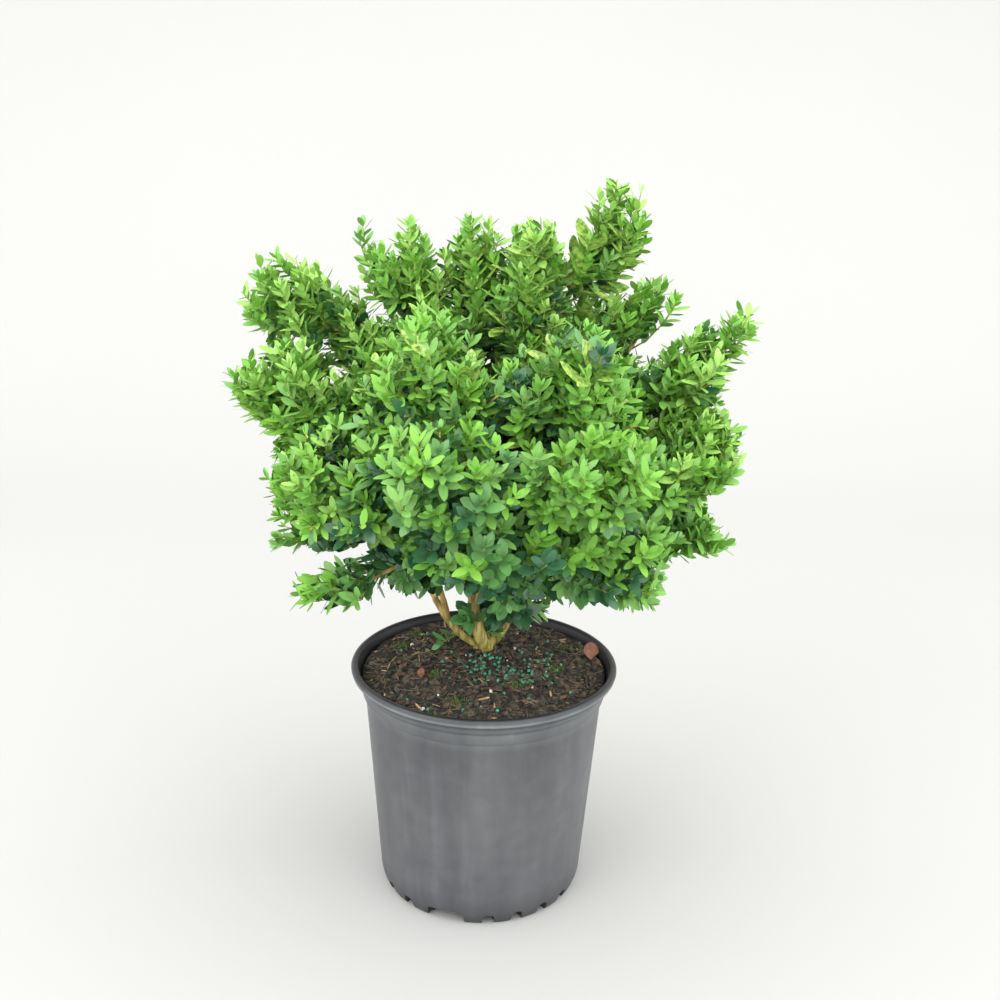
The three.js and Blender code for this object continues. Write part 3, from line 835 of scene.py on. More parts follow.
def strewn(name, shape, places, sizes, dent, tilt, draw, sink=0.25):
    """Many copies of a shape on the filling, with sizes in millimetres."""
    pattern, triangles = shape
    points, faces = [], []
    for (x, y), size in zip(places, sizes):
        turn = Matrix.Rotation(mix(0, 2 * math.pi, draw()), 3, "Z")
        tip = Matrix.Rotation(mix(-tilt, tilt, draw()), 3, "X")
        tip = tip @ Matrix.Rotation(mix(-tilt, tilt, draw()), 3, "Y")
        dents = np.array([1 + mix(-dent, dent, draw()) for point in pattern])
        own = pattern * dents[:, None] * size @ np.array(turn @ tip).T
        lifted = -own[:, 2].min() * (1 - 2 * sink) - size[2] * sink * 0.5
        faces.append(triangles + len(points) * len(pattern))
        points.append(own + (x, y, soil_level(x, y) + lifted))
    return mesh_piece(name, np.vstack(points), np.vstack(faces), smooth=shape is not BLOCK)


draw = draws_from(77)
print("loose pieces are strewn up to", SPREAD, "mm from the pot's axis")


# %% [markdown]
# Bark chips make up most of the surface, flat flakes a few millimetres long in mixed browns. The
# fewer red ones are pieces of inner bark, which stay redder as they rot.

# %% Bark chips
BARK_CHIPS = 1500
RED_CHIPS = 120

spots = places_on_soil(BARK_CHIPS, draw)
lengths = [mix(2.2, 7.5, draw() ** 2) for spot in spots]
sizes = [(a, a * mix(0.35, 0.8, draw()), a * mix(0.15, 0.45, draw())) for a in lengths]
chips = strewn("bark_chips", BLOCK, spots, sizes, 0.3, 0.5, draw)
chip_tones = [(0.3, linear(26, 25, 22)), (0.46, linear(54, 51, 43))]
chip_tones += [(0.58, linear(90, 82, 68)), (0.7, linear(66, 60, 50))]
settle(chips, "bark_chips", finish("bark chips", chip_tones, 150, 0.88, 600, 0.5), "soil", "soil")

spots = places_on_soil(RED_CHIPS, draw)
lengths = [mix(3, 8, draw()) for spot in spots]
sizes = [(a, a * mix(0.4, 0.7, draw()), a * mix(0.15, 0.35, draw())) for a in lengths]
red_chips = strewn("red_chips", BLOCK, spots, sizes, 0.3, 0.6, draw)
red_tones = [(0.35, linear(66, 46, 36)), (0.65, linear(116, 84, 64))]
settle(red_chips, "red_chips", finish("red brown bark", red_tones, 140, 0.85, 600, 0.4), "soil", "soil")


# %% [markdown]
# Between the chips lie pale splinters of wood and a felt of thin root fibres, the same block
# drawn out long. They break up the surface at a finer scale, as the eye expects of soil.

# %% Splinters and fibres
SPLINTERS = 60
FIBRES = 520

spots = places_on_soil(SPLINTERS, draw)
sizes = [(mix(5, 12, draw()), mix(0.7, 1.7, draw()), mix(0.4, 0.9, draw())) for spot in spots]
splinters = strewn("splinters", BLOCK, spots, sizes, 0.25, 0.4, draw)
tan_tones = [(0.35, linear(140, 112, 74)), (0.65, linear(196, 168, 122))]
settle(splinters, "splinters", finish("pale splinters", tan_tones, 150, 0.8, 500, 0.3), "soil", "soil")

spots = places_on_soil(FIBRES, draw)
sizes = [(mix(5, 15, draw()), mix(0.3, 0.6, draw()), mix(0.3, 0.5, draw())) for spot in spots]
fibres = strewn("fibres", BLOCK, spots, sizes, 0.25, 0.5, draw, sink=0.1)
fibre_tones = [(0.35, linear(62, 54, 42)), (0.65, linear(134, 120, 92))]
settle(fibres, "fibres", finish("root fibre", fibre_tones, 60, 0.9, 500, 0.2), "soil", "soil")


# %% [markdown]
# Slow feed is sold as small coated balls, here teal ones of about 3 mm. Most lie in one heap in
# front of the stems, where they were poured, and a few have rolled off.

# %% Feed pellets
FEED = {"count": 150, "within": 90, "heap": (17, -9), "spread": (50, 38), "scattered": 0.05}


def in_feed_heap(x, y):
    """Likely in the heap, and seldom elsewhere."""
    (heap_x, heap_y), (wide, deep) = FEED["heap"], FEED["spread"]
    out = math.hypot((x - heap_x) / wide, (y - heap_y) / deep)
    return draw() < max(FEED["scattered"], 1.1 - out)


spots = places_on_soil(FEED["count"], draw, FEED["within"], in_feed_heap)
sizes = [(d, d, d) for d in (mix(2.6, 3.3, draw()) for spot in spots)]
pellets = strewn("feed_pellets", PELLET, spots, sizes, 0.02, 0, draw)
teal_tones = [(0.35, linear(34, 128, 96)), (0.65, linear(84, 170, 128))]
settle(pellets, "feed_pellets", finish("feed pellets", teal_tones, 300, 0.45, 500, 0.1), "soil", "soil")


# %% [markdown]
# Moss starts in patches where the soil stays damp. Each patch is a crowd of small upright blocks,
# which is enough at this size. A few white crumbs of perlite belong to every bark mix.

# %% Moss and perlite
MOSS_PATCHES = ((-74, 40, 9), (-58, 62, 8), (-22, -64, 10), (24, -40, 8), (62, -4, 7))
MOSS_PATCHES += ((-40, -20, 6), (70, 40, 7))
MOSS_BLADES = 70
CRUMBS = 26

spots, sizes = [], []
for patch_x, patch_y, radius in MOSS_PATCHES:
    for x, y in places_on_soil(MOSS_BLADES, draw, radius):
        spots.append((patch_x + x, patch_y + y))
        sizes.append((mix(0.8, 1.6, draw()), mix(0.6, 1.0, draw()), mix(1.6, 3.6, draw())))
moss = strewn("moss", BLOCK, spots, sizes, 0.3, 0.7, draw)
moss_tones = [(0.35, linear(44, 62, 30)), (0.65, linear(88, 116, 52))]
settle(moss, "moss", finish("moss", moss_tones, 260, 0.9, 600, 0.2), "soil", "soil")

spots = places_on_soil(CRUMBS, draw)
sizes = [(d, d * 0.9, d * 0.8) for d in (mix(1.2, 2.8, draw()) for spot in spots)]
perlite = strewn("perlite", BLOCK, spots, sizes, 0.2, 0.5, draw)
white_tones = [(0.35, linear(196, 192, 182)), (0.65, linear(226, 224, 216))]
settle(perlite, "perlite", finish("perlite", white_tones, 300, 0.9, 700, 0.3), "soil", "soil")


# %% [markdown]
# Stems, boughs, twigs and roots are all tapering tubes along a line. Hundreds of them are made at
# once with arrays: a ring of points at each step of each line, joined by triangles, and closed at
# both ends by a point, so each tube is a watertight piece of its own.

# %% Tapering tubes
def tubes(lines, thick, thin, rows, sides):
    """Tapered tubes along lines as one set of points and triangles, closed by a point at each end."""
    paths = np.array([line.spaced(rows) for line in lines])
    ways = np.gradient(paths, axis=1)
    ways /= np.linalg.norm(ways, axis=2, keepdims=True)
    level = np.cross(ways, np.array([0.31, 0.17, 0.93]))
    level /= np.linalg.norm(level, axis=2, keepdims=True)
    third = np.cross(ways, level)
    share = np.linspace(0, 1, rows + 1)
    radii = np.asarray(thick)[:, None] * (1 - share) + np.asarray(thin)[:, None] * share
    turns = np.arange(sides) * 2 * math.pi / sides
    around = level[:, :, None] * np.cos(turns)[:, None] + third[:, :, None] * np.sin(turns)[:, None]
    rings = (paths[:, :, None] + around * radii[..., None, None]).reshape(len(lines), -1, 3)
    ends = paths[:, [0, -1]] + ways[:, [0, -1]] * radii[:, [0, -1], None] * np.array([[-0.4], [0.6]])
    points = np.concatenate([rings, ends], axis=1)
    k = np.arange(sides)
    after = (k + 1) % sides
    last = rows * sides
    foot, tip = np.full(sides, last + sides), np.full(sides, last + sides + 1)
    triangles = [np.stack([k, foot, after], 1), np.stack([last + k, last + after, tip], 1)]
    for row in range(rows):
        low, high = row * sides, (row + 1) * sides
        triangles.append(np.stack([low + k, low + after, high + after], 1))
        triangles.append(np.stack([low + k, high + after, high + k], 1))
    faces = np.vstack(triangles) + (np.arange(len(lines)) * points.shape[1])[:, None, None]
    return points.reshape(-1, 3), faces.reshape(-1, 3)


print("triangles of a tube of 8 rows and 7 sides:", len(tubes([Line([UP * 0, UP])], [1], [1], 8, 7)[1]))


# %% [markdown]
# Young bark has shallow ridges that run along the stem. A bump alone would leave the edge of the
# stem smooth, so the skin itself is pushed in and out by a noise drawn out upwards. Close to the
# soil, where it is damp, the bark is tinged yellow green.

# %% Bark
MOSSY_HEIGHT = 34
MOSSY_TINT = (0.66, 0.8, 0.36, 1)


def bark_relief(piece, depth, scale, stretch):
    """Pushes a skin in and out by a noise drawn out along the stems."""
    count = len(piece.data.vertices)
    places, normals = np.empty(count * 3, np.float32), np.empty(count * 3, np.float32)
    piece.data.vertices.foreach_get("co", places)
    piece.data.vertex_normals.foreach_get("vector", normals)
    spots = places.reshape(-1, 3) * (scale, scale, scale * stretch)
    ridges = np.array([noise.fractal(Vector(spot), 0.7, 2.0, 3) for spot in spots])
    places += normals * np.repeat(ridges, 3) * depth * MM
    piece.data.vertices.foreach_set("co", places)
    piece.data.update()


def mossy_at_foot(material):
    """Tints the bark yellow green over the lowest few centimetres."""
    base = material.node_tree.nodes["Principled BSDF"]
    height = share_of_height(material, ground, ground + MOSSY_HEIGHT)
    tint = tones(material, height, [(0.0, MOSSY_TINT), (1.0, (1, 1, 1, 1))])
    bark = base.inputs["Base Color"].links[0].from_socket
    material.node_tree.links.new(multiplied(material, bark, tint), base.inputs["Base Color"])


bark_tones = [(0.3, linear(84, 72, 40)), (0.42, linear(150, 130, 74))]
bark_tones += [(0.55, linear(192, 170, 104)), (0.72, linear(216, 198, 138))]
stem_bark = finish("stem bark", bark_tones, 260, 0.78, 900, 0.7, stretch=(1, 1, 0.12))
mossy_at_foot(stem_bark)
print("bark with a yellow green foot,", MOSSY_HEIGHT, "mm high")


# %% [markdown]
# The stems part from one short root crown. It is made as the plant is: a flared foot with the
# four stems as tubes run into it, and a few roots over the filling. A voxel remesh melts them
# into one skin, so the forks have no seams, and the relief of the bark goes in afterwards.

# %% Root crown and stems
STEM_SIDES = 16
BARK_VOXEL = 0.8
BARK_THICKNESS = {"left": 0.9, "middle": 1.15, "right": 1.0, "back": 1.0}
ROOTS = ((-150, 15, 2.6), (-60, 17, 3.0), (10, 14, 2.4), (80, 15, 2.8), (150, 13, 2.4))
ROOT_TIP = 1.2

flare = [(CENTRE_RADIUS, -4), (TRUNK["flare_radius"], -4), (TRUNK["flare_radius"], 0)]
flare += [(11, 1.6), (9.4, 3.6), (8.4, TRUNK["neck_height"]), (7, 12), (4.5, 15), (CENTRE_RADIUS, 15)]
foot = turned_shell([(radius, ground + z) for radius, z in flare], 32)
foot.data.transform(Matrix.Translation(Vector((TRUNK["x"], TRUNK["y"], 0)) * MM))
radii = [STEMS[name][2] * share for name, share in BARK_THICKNESS.items()]
ends = [LIMB["tip_radius"]] * len(radii)
skin = mesh_piece("stems", *tubes(stem_lines.values(), radii, ends, 60, STEM_SIDES))
roots = []
for turn, out, thickness in ROOTS:
    away = np.array([math.cos(math.radians(turn)), math.sin(math.radians(turn)), 0])
    neck, bend = trunk_foot + away * 4 + UP * 5, trunk_foot + away * out * 0.6 + UP * 3.5
    roots.append(bent(neck, bend, trunk_foot + away * out - UP * 3.5))
root_radii = [thickness for turn, out, thickness in ROOTS]
root_skin = mesh_piece("roots", *tubes(roots, root_radii, [ROOT_TIP] * len(roots), 12, 12))
make_active(foot)
skin.select_set(True)
root_skin.select_set(True)
bpy.ops.object.join()
melt = foot.modifiers.new("melt", "REMESH")
melt.mode = "VOXEL"
melt.voxel_size = BARK_VOXEL * MM
melt.use_smooth_shade = True
bpy.ops.object.modifier_apply(modifier="melt")
soften = foot.modifiers.new("soften", "SMOOTH")
soften.iterations = 4
bpy.ops.object.modifier_apply(modifier="soften")
bark_relief(foot, 0.6, 420, 0.12)
settle(foot, "stems_bark", stem_bark, "stem", "trunk", *["stem_" + name for name in STEMS])


# %% [markdown]
# Boughs are thinner, and part from the stems at narrow angles. Each is a tapered tube whose foot
# lies inside its stem, so no seam shows.

# %% Boughs
tan_tones = [(0.3, linear(150, 122, 66)), (0.5, linear(186, 158, 92)), (0.72, linear(212, 190, 124))]
tan_bark = finish("tan bark", tan_tones, 160, 0.75, 420, 0.35, stretch=(1, 1, 0.3))
count = len(bough_lines)
bough_ends = [[LIMB["bough_radius"]] * count, [LIMB["tip_radius"]] * count]
boughs = mesh_piece("boughs_bark", *tubes(bough_lines.values(), *bough_ends, 24, 14))
bark_relief(boughs, 0.25, 420, 0.3)
settle(boughs, "boughs_bark", tan_bark, "bough", *["bough_" + name for name in bough_lines])


# %% [markdown]
# Each mass narrows from its foot to the tip that the photograph shows, more slowly where it
# stands upright, and is flatter below than above, because shoots turn up to the light. That
# leaves the crown's gaps open to the sky. The table says where a mass differs from the usual
# shape: its fullness, its under side and upper side, how far it reaches, where it is moved and
# leans to, how sparse its twigs are, how far it may grow into its neighbours, and how deep it is
# from front to back.

# %% The shape of each mass
GIRTH_AT = (-1.0, -0.3, 0.2, 0.6, 0.82, 0.95, 1.02)
GIRTH_LEVEL = (0.9, 1.1, 1.12, 0.95, 0.72, 0.5, 0.15)
GIRTH_UPRIGHT = (0.9, 1.05, 0.95, 0.84, 0.76, 0.68, 0.3)
ABOVE_TIP = (0.0, 0.5)
LEAF_ROOM = 5
LEAF_PAST = 14
USUAL_SHAPE = {"full": 1.0, "below": -0.42, "above": 0.2, "further": 0, "top": 0}
USUAL_SHAPE |= {"shift": (0, 0, 0), "lean": (0, 0, 0), "sparse": 1, "over": 0, "deep": 1}
SHAPES = {
    "top_right": {"full": 0.76, "further": -6, "shift": (43, 0, 0), "sparse": 1.2, "deep": 1.7},
    "top_middle": {"full": 0.94, "shift": (1, 0, 0), "sparse": 1.15, "deep": 1.5},
    "top_ridge": {"full": 0.98, "above": 0.6, "further": 8, "top": 5, "shift": (-9, 0, 0), "over": 10},
    "top_left": {"full": 0.95, "shift": (-15, 0, 0), "top": 5, "sparse": 1.15, "deep": 1.5},
    "back_left_upper": {"below": 0, "above": -0.2, "top": -32, "over": 12},
    "back_right_upper": {"below": 0, "top": -24, "over": 12},
    "left_shoulder": {"below": 0.55, "above": -0.3, "shift": (-10, 0, -8), "sparse": 1.15},
    "right_shoulder": {"full": 0.46, "below": -0.4, "above": 0.1, "further": -52, "shift": (18, 0, 66)},
    "right_upper": {"full": 0.86, "below": -0.5, "above": -0.2, "further": 4, "top": 12},
    "right_side": {"full": 0.95, "above": 1.3, "further": -3, "top": 16, "over": 22},
    "right_low": {"full": 0.92, "below": -0.9, "shift": (0, 0, 6)},
    "left_side": {"below": -0.95, "above": 1.1, "top": 36, "shift": (0, 0, 4), "over": 30},
    "left_front_side": {"full": 0.85, "below": -0.9, "further": -5, "shift": (0, 0, 6)},
    "left_low": {"full": 0.75, "below": -0.8, "above": -0.5, "further": -3, "top": -18},
    "front_left_low": {"full": 0.62, "below": -0.8, "above": 0.4, "shift": (-4, 0, 6)},
    "front_low": {"full": 0.88, "below": -0.8, "shift": (0, 0, 6), "sparse": 1.55},
    "front_right_low": {"below": -0.3, "shift": (2, 0, -14), "sparse": 1.25},
    "front_left_side": {"full": 1.06, "shift": (11, 0, 0), "sparse": 1.2, "over": 10},
    "front_right_side": {"full": 1.04, "shift": (-10, 0, 0), "sparse": 1.2, "over": 10},
    "front_left_upper": {"above": 0.45, "top": 16, "sparse": 1.15},
    "front_right_upper": {"above": 0.45, "top": 14, "sparse": 1.15},
    "back_left_side": {"full": 1.14, "above": 0.6, "further": 18, "over": 12},
    "back_right_side": {"full": 1.14, "above": 0.6, "further": 18, "over": 12},
    "back_low": {"full": 1.1, "below": -0.75, "further": 18, "shift": (0, 0, 12)},
    "heart_left": {"full": 1.2, "below": -0.3},
    "heart_middle": {"full": 1.1, "below": -0.5},
    "heart_right": {"full": 1.25, "below": 0.1, "shift": (0, 0, -8)},
    "heart_back": {"full": 1.3, "above": 0.4},
}
SHAPES["top_right"] |= {"lean": (-51, 7, 0)}
SHAPES["top_ridge"] |= {"deep": 1.5}
SHAPES["left_shoulder"] |= {"deep": 1.3}
SHAPES["right_shoulder"] |= {"lean": (-8, 0, -72), "deep": 1.5}
SHAPES["right_upper"] |= {"shift": (12, 0, -2), "lean": (0, 0, 24), "sparse": 1.15}
print("masses with a shape of their own:", len(SHAPES), "of", len(masses))


# %% [markdown]
# A mass also keeps to its own space, so that sprays of two masses seldom cross: a point belongs to
# the mass whose middle is nearest, allowing for how wide each mass is. The space answers three
# questions about points: do they lie inside it, within the mass's shape, and clear of all limbs.
# Below a certain depth the crown is filled whatever the shapes say, so no mass stands alone.

# %% The space of each mass
CROWN_RADII = {"side": 205, "depth": 192, "above": 245, "below": 112}
FILLED_AT = (318, 330, 430, 520)
FILLED_DEPTH = (0.0, 0.87, 0.82, 0.67)
FILLED_EDGE = 250


def crown_depth(points):
    """1 at the crown's outside, 0 at its heart."""
    x, y, z = (points - CROWN_HEART).T
    height = z / np.where(z > 0, CROWN_RADII["above"], CROWN_RADII["below"])
    return np.sqrt((x / CROWN_RADII["side"]) ** 2 + (y / CROWN_RADII["depth"]) ** 2 + height**2)


class Space:
    """What belongs to one mass: its cell, its shape, and the limbs that it keeps clear of."""

    def __init__(self, mass):
        others = [m for m in masses if m is not mass]
        across = np.array([m.centre - mass.centre for m in others])
        gaps = np.linalg.norm(across, axis=1)
        widths = np.array([m.half_width for m in others])
        shares = (gaps**2 + mass.half_width**2 - widths**2) / (2 * gaps)
        self.facing = across / gaps[:, None]
        self.offset = self.facing @ mass.centre + shares - FOLIAGE["space_margin"]
        self.start, self.half_width = mass.start, mass.half_width
        self.shape = {**USUAL_SHAPE, **SHAPES.get(mass.name, {})}
        self.axis = unit(mass.tip - mass.start + self.shape["lean"])
        self.span = np.linalg.norm(mass.tip - mass.start) + self.shape["further"]
        self.upper = unit(UP - self.axis * self.axis[2])
        self.level = math.hypot(self.axis[0], self.axis[1])
        rise = mix(*ABOVE_TIP, self.level**2) * mass.half_width
        self.highest = mass.tip[2] + rise + self.shape["top"]
        self.take_limbs(others)

    def take_limbs(self, others):
        limbs = [(line.spaced(LIMB["stem_rows"]), STEMS[n][2]) for n, line in stem_lines.items()]
        limbs += [(line.spaced(LIMB["bough_rows"]), LIMB["bough_radius"]) for line in bough_lines.values()]
        limbs += [(m.spine.spaced(2), TWIG["base_radius"]) for m in others]
        self.limb_starts = np.vstack([rows[:-1] for rows, thick in limbs])
        self.limb_steps = np.vstack([np.diff(rows, axis=0) for rows, thick in limbs])
        tapers = [np.linspace(thick, LIMB["tip_radius"], len(rows))[:-1] for rows, thick in limbs]
        self.limb_radii = np.concatenate(tapers)

    def inside(self, points, beyond=0.0):
        own = (points @ self.facing.T < self.offset + beyond).all(1)
        return own & (points[:, 2] > FOLIAGE["lowest"])

    def reached(self, points, beyond=0.0):
        offsets = points - self.start - self.shape["shift"]
        along = offsets @ self.axis
        radial = (offsets - along[:, None] * self.axis) * (1, 1 / self.shape["deep"], 1)
        out = np.linalg.norm(radial, axis=1)
        rising = self.level * (radial @ self.upper) / np.maximum(out, 0.01)
        upright = np.interp(along / self.span, GIRTH_AT, GIRTH_UPRIGHT)
        level = np.interp(along / self.span, GIRTH_AT, GIRTH_LEVEL)
        sideways = 1 + np.where(rising < 0, -self.shape["below"], self.shape["above"]) * rising
        girth = self.half_width * self.shape["full"] * mix(upright, level, self.level) * sideways
        low_enough = points[:, 2] < self.highest + np.minimum(beyond, LEAF_ROOM)
        own = (out < girth + beyond) & (along < self.span * GIRTH_AT[-1] + beyond) & low_enough
        filled = np.interp(points[:, 2], FILLED_AT, FILLED_DEPTH) + beyond / FILLED_EDGE
        return own | (crown_depth(points) < filled)

    def clear(self, points, clearance):
        """True for points that lie further than the clearance from every limb's bark."""
        offsets = points[:, None] - self.limb_starts
        share = (offsets * self.limb_steps).sum(2) / (self.limb_steps**2).sum(1)
        nearest = offsets - np.clip(share, 0, 1)[..., None] * self.limb_steps
        return (np.linalg.norm(nearest, axis=2) - self.limb_radii > clearance).all(1)


spaces = {mass.name: Space(mass) for mass in masses}
print("spaces:", len(spaces), "each with", len(masses) - 1, "neighbours")


# %% [markdown]
# A twig is a line with an order and two thicknesses. As they grow, their tips are kept in boxes,
# so that a new tip only has to be compared with the few in the boxes next to it. Looking through
# thousands of tips each time would take minutes.

# %% Twigs and the crowd of their tips
FINE_TWIG = {"spacing": 7.5, "lean": (0.95, 0.4), "length": (66, 36), "crowding": 11.5, "clearance": 1.2}
FINE_TWIG |= {"past": 8, "beyond": (-12, 8), "along": (0.0, 1.0)}
SHOOT = {"spacing": 9.0, "lean": (0.8, 0.5), "length": (30, 20), "crowding": 9.5, "clearance": 0.8}
SHOOT |= {"past": 12, "beyond": (-8, 7), "along": (0.1, 0.8)}
LEADER = 26
LEADER_PULL = {"up": 0.45, "out": 0.3}
SIDE_PULL = {"up": 0.75, "out": 0.45}
TO_LIGHT = 0.7
TRIM_BEYOND = 6
THIN_TO = 0.6
TRIED_SHORTER = (1, 0.75, 0.52)


class Twig:
    def __init__(self, line, order, thick, thin, stray=0):
        self.line, self.order, self.thick, self.thin, self.stray = line, order, thick, thin, stray


class Crowd:
    """The tips so far, in boxes, to find quickly whether a new one has room."""

    def __init__(self, box):
        self.box, self.tips = box, {}

    def has_room(self, point, distance):
        x, y, z = (int(c // self.box) for c in point)
        for key in ((x + i, y + j, z + k) for i in (-1, 0, 1) for j in (-1, 0, 1) for k in (-1, 0, 1)):
            for tip in self.tips.get(key, ()):
                if math.dist(point, tip) < distance:
                    return False
        return True

    def add(self, point):
        key = tuple(int(c // self.box) for c in point)
        self.tips.setdefault(key, []).append(tuple(point))


crowd = Crowd(FINE_TWIG["crowding"])
print("fine twigs keep their tips", FINE_TWIG["crowding"], "mm apart, shoots", SHOOT["crowding"], "mm")


# %% [markdown]
# A mass's spine bears two whorls of side twigs. These are the twigs of the solids, so the draws
# come in the solids' order. What grows out past the mass's shape is trimmed.

# %% Side twigs of the spine
def source_side_twigs(mass, space):
    """The side twigs of the solids, drawn in the same order."""
    draw = draws_from(mass.seed)
    twigs = []
    for whorl, along in enumerate(TWIG["whorls"]):
        whorl_turn = whorl * math.pi / 2 + mix(-0.5, 0.5, draw())
        for half in (0, math.pi):
            turn = whorl_turn + half + mix(-0.2, 0.2, draw())
            lean = mix(1.05, 0.7, along)
            reach = mass.half_width * mix(1.3, 0.75, along) * mix(0.85, 1.15, draw())
            start, way = mass.spine.at(along), mass.spine.way(along)
            heading = beside(way, turn) * math.sin(lean) + way * math.cos(lean) + UP * 0.16
            for share in (1, 0.8, 0.62, 0.45):
                line = Line([start, start + heading * reach * share])
                points = line.spaced(6)[1:]
                clear = space.clear(points, FOLIAGE["limb_clearance"]).all()
                if clear and space.inside(points).all():
                    kept = max(2, int(space.reached(points, beyond=TRIM_BEYOND).sum()))
                    twigs.append(Twig(Line([start, points[kept - 1]]), 1, 1.25, 0.7, TRIM_BEYOND))
                    break
    return twigs


bearers_of = {}
for mass in masses:
    spine = Twig(mass.spine, 0, LIMB["tip_radius"], 1.0)
    bearers_of[mass.name] = [spine, *source_side_twigs(mass, spaces[mass.name])]
print("spines and side twigs:", sum(len(bearers) for bearers in bearers_of.values()))


# %% [markdown]
# The growth rule. Each of these twigs grows on into a leader. Finer twigs then leave all of them,
# and the bough, in opposite pairs, each pair a quarter turn on from the last, lean outwards and
# turn up to the light, and bear a still finer order of shoots. A twig that would leave its space,
# touch a limb or crowd another tip is tried shorter, then skipped.

# %% The growth rule
def try_twig(start, heading, pull, length, order, thick, rule, space, crowd, draw):
    """A twig from start along heading, pulled aside towards its end, if one finds room."""
    beyond = mix(*rule["beyond"], draw())
    for tried in TRIED_SHORTER:
        reach = length * tried
        end = start + unit(heading + pull) * reach
        if not crowd.has_room(end, rule["crowding"] * space.shape["sparse"]):
            continue
        points = np.array([mix(start, end, s) for s in (0.5, 1)])
        inside = space.inside(points, rule["past"] + space.shape["over"])
        if not (inside & space.reached(points, beyond)).all():
            continue
        if space.clear(points, rule["clearance"]).all():
            crowd.add(end)
            line = bent(start, start + heading * reach * 0.5, end, 4)
            return [Twig(line, order, thick, thick * THIN_TO, max(0, beyond))]
    return []


def pulled(start, pull):
    """How a twig that starts at a place is drawn up and outwards to the light."""
    return (UP * pull["up"] + unit(start - CROWN_HEART) * pull["out"]) * TO_LIGHT


def leaders(parents, space, crowd, draw):
    """Each twig of the solids grows on from its end, the spine right to the mass's tip."""
    grown = []
    for parent in parents:
        start, way = parent.line.at(1), parent.line.way(1)
        length = LEADER * (1.08 if parent.order == 0 else mix(0.75, 1.0, draw()))
        pull = pulled(start, LEADER_PULL)
        grown += try_twig(start, way, pull, length, 2, parent.thin, FINE_TWIG, space, crowd, draw)
    return grown


def finer_twigs(parents, rule, order, thick, space, crowd, draw):
    """Pairs of twigs along each parent, from its foot to near its tip."""
    grown = []
    for parent in parents:
        turn = mix(0, math.pi, draw())
        first, last = rule["along"]
        count = int(parent.line.length * (last - first) / rule["spacing"])
        for k in range(count):
            share = mix(first, last, (k + 0.6) / (count + 0.35))
            turn += math.pi / 2 + mix(-0.25, 0.25, draw())
            start, way = parent.line.at(share), parent.line.way(share)
            pull = pulled(start, SIDE_PULL)
            for half in (0, math.pi):
                lean = mix(*rule["lean"], share) + mix(-0.15, 0.15, draw())
                length = mix(*rule["length"], share) * mix(0.75, 1.15, draw())
                heading = beside(way, turn + half) * math.sin(lean) + way * math.cos(lean)
                grown += try_twig(start, heading, pull, length, order, thick, rule, space, crowd, draw)
    return grown


print("a twig that finds no room is tried at", TRIED_SHORTER, "of its length")


# %% [markdown]
# The masses grow one after another, each from its own seed, so that a change in one mass leaves
# the draws of the others as they are. A mass on a stem also has fine twigs on the stem's upper
# half, and one on a bough has them all along it.

# %% Growing the twigs
THICK = {"fine": 0.75, "shoot": 0.5}

twigs_of = {}
for mass in masses:
    space, bearers = spaces[mass.name], bearers_of[mass.name]
    draw = draws_from(mass.seed + 5000)
    bearers += leaders(bearers, space, crowd, draw)
    whole = stem_lines[mass.stem]
    upper_half = Line(whole.points[len(whole.points) // 2 :])
    limb = Twig(bough_lines.get(mass.name, upper_half), 0, 0, 0)
    fine = finer_twigs([*bearers, limb], FINE_TWIG, 2, THICK["fine"], space, crowd, draw)
    shoots = finer_twigs(bearers[1:] + fine, SHOOT, 3, THICK["shoot"], space, crowd, draw)
    twigs_of[mass.name] = bearers + fine + shoots
orders = [twig.order for twigs in twigs_of.values() for twig in twigs]
print("twigs of each order:", [orders.count(order) for order in range(4)])


# %% [markdown]
# A few short shoots with old dark leaves sprout from the stems below the crown, close to the soil.
# They belong to no mass, so they only keep clear of the limbs and of the soil.

# %% Sprigs at the foot
SPRIGS = {"left": 2, "middle": 6, "right": 7, "back": 4}
SPRIG = {"height": (14, 58), "length": (14, 30), "clearance": 1.0, "above_soil": 9}
SPRIG |= {"thick": 0.7, "thin": 0.4, "shade": 0.35}


class OpenSpace(Space):
    """Room for sprigs: anywhere above the soil."""

    def inside(self, points, beyond=0.0):
        return points[:, 2] > ground + SPRIG["above_soil"]

    def reached(self, points, beyond=0.0):
        return self.inside(points)


draw = draws_from(4321)
open_space = OpenSpace(next(mass for mass in masses if mass.name == "heart_middle"))
sprigs = []
for name, count in SPRIGS.items():
    whole, placed = stem_lines[name], 0
    while placed < count:
        share = mix(*SPRIG["height"], draw()) / whole.length
        start, way = whole.at(share), whole.way(share)
        heading = unit(beside(way, mix(0, 2 * math.pi, draw())) + UP * 0.5)
        end = start + heading * mix(*SPRIG["length"], draw())
        points = np.array([mix(start, end, 0.6), end])
        if open_space.inside(points).all() and open_space.clear(points, SPRIG["clearance"]).all():
            line = bent(start, start + heading * 8, end, 4)
            sprigs.append(Twig(line, 2, SPRIG["thick"], SPRIG["thin"]))
            placed += 1
print("sprigs at the foot:", len(sprigs))


# %% [markdown]
# How deep in the crown a twig ends decides how old its leaves are: bright new ones outside, dark
# glossy ones near the stems and along the older wood. A whole spray shares one tone, as on the
# real plant, where a season's growth is of one age. Some sprays at the outline take a lighter
# kind, soft, as a painted backlight, a few large pale leaves stand in the upper crown, and low in
# the crown, most of all in its low middle, darker kinds are dealt out as painted shade.

# %% Tones of the sprays
LEAF = {"length": 15.5, "width": 6.2, "old_length": 16.5, "old_width": 8.2, "spacing": 5.2}
TIP_PAIRS = ((0.0, 0.35, 0.5), (1.6, 0.6, 0.72), (4.4, 0.85, 0.92))
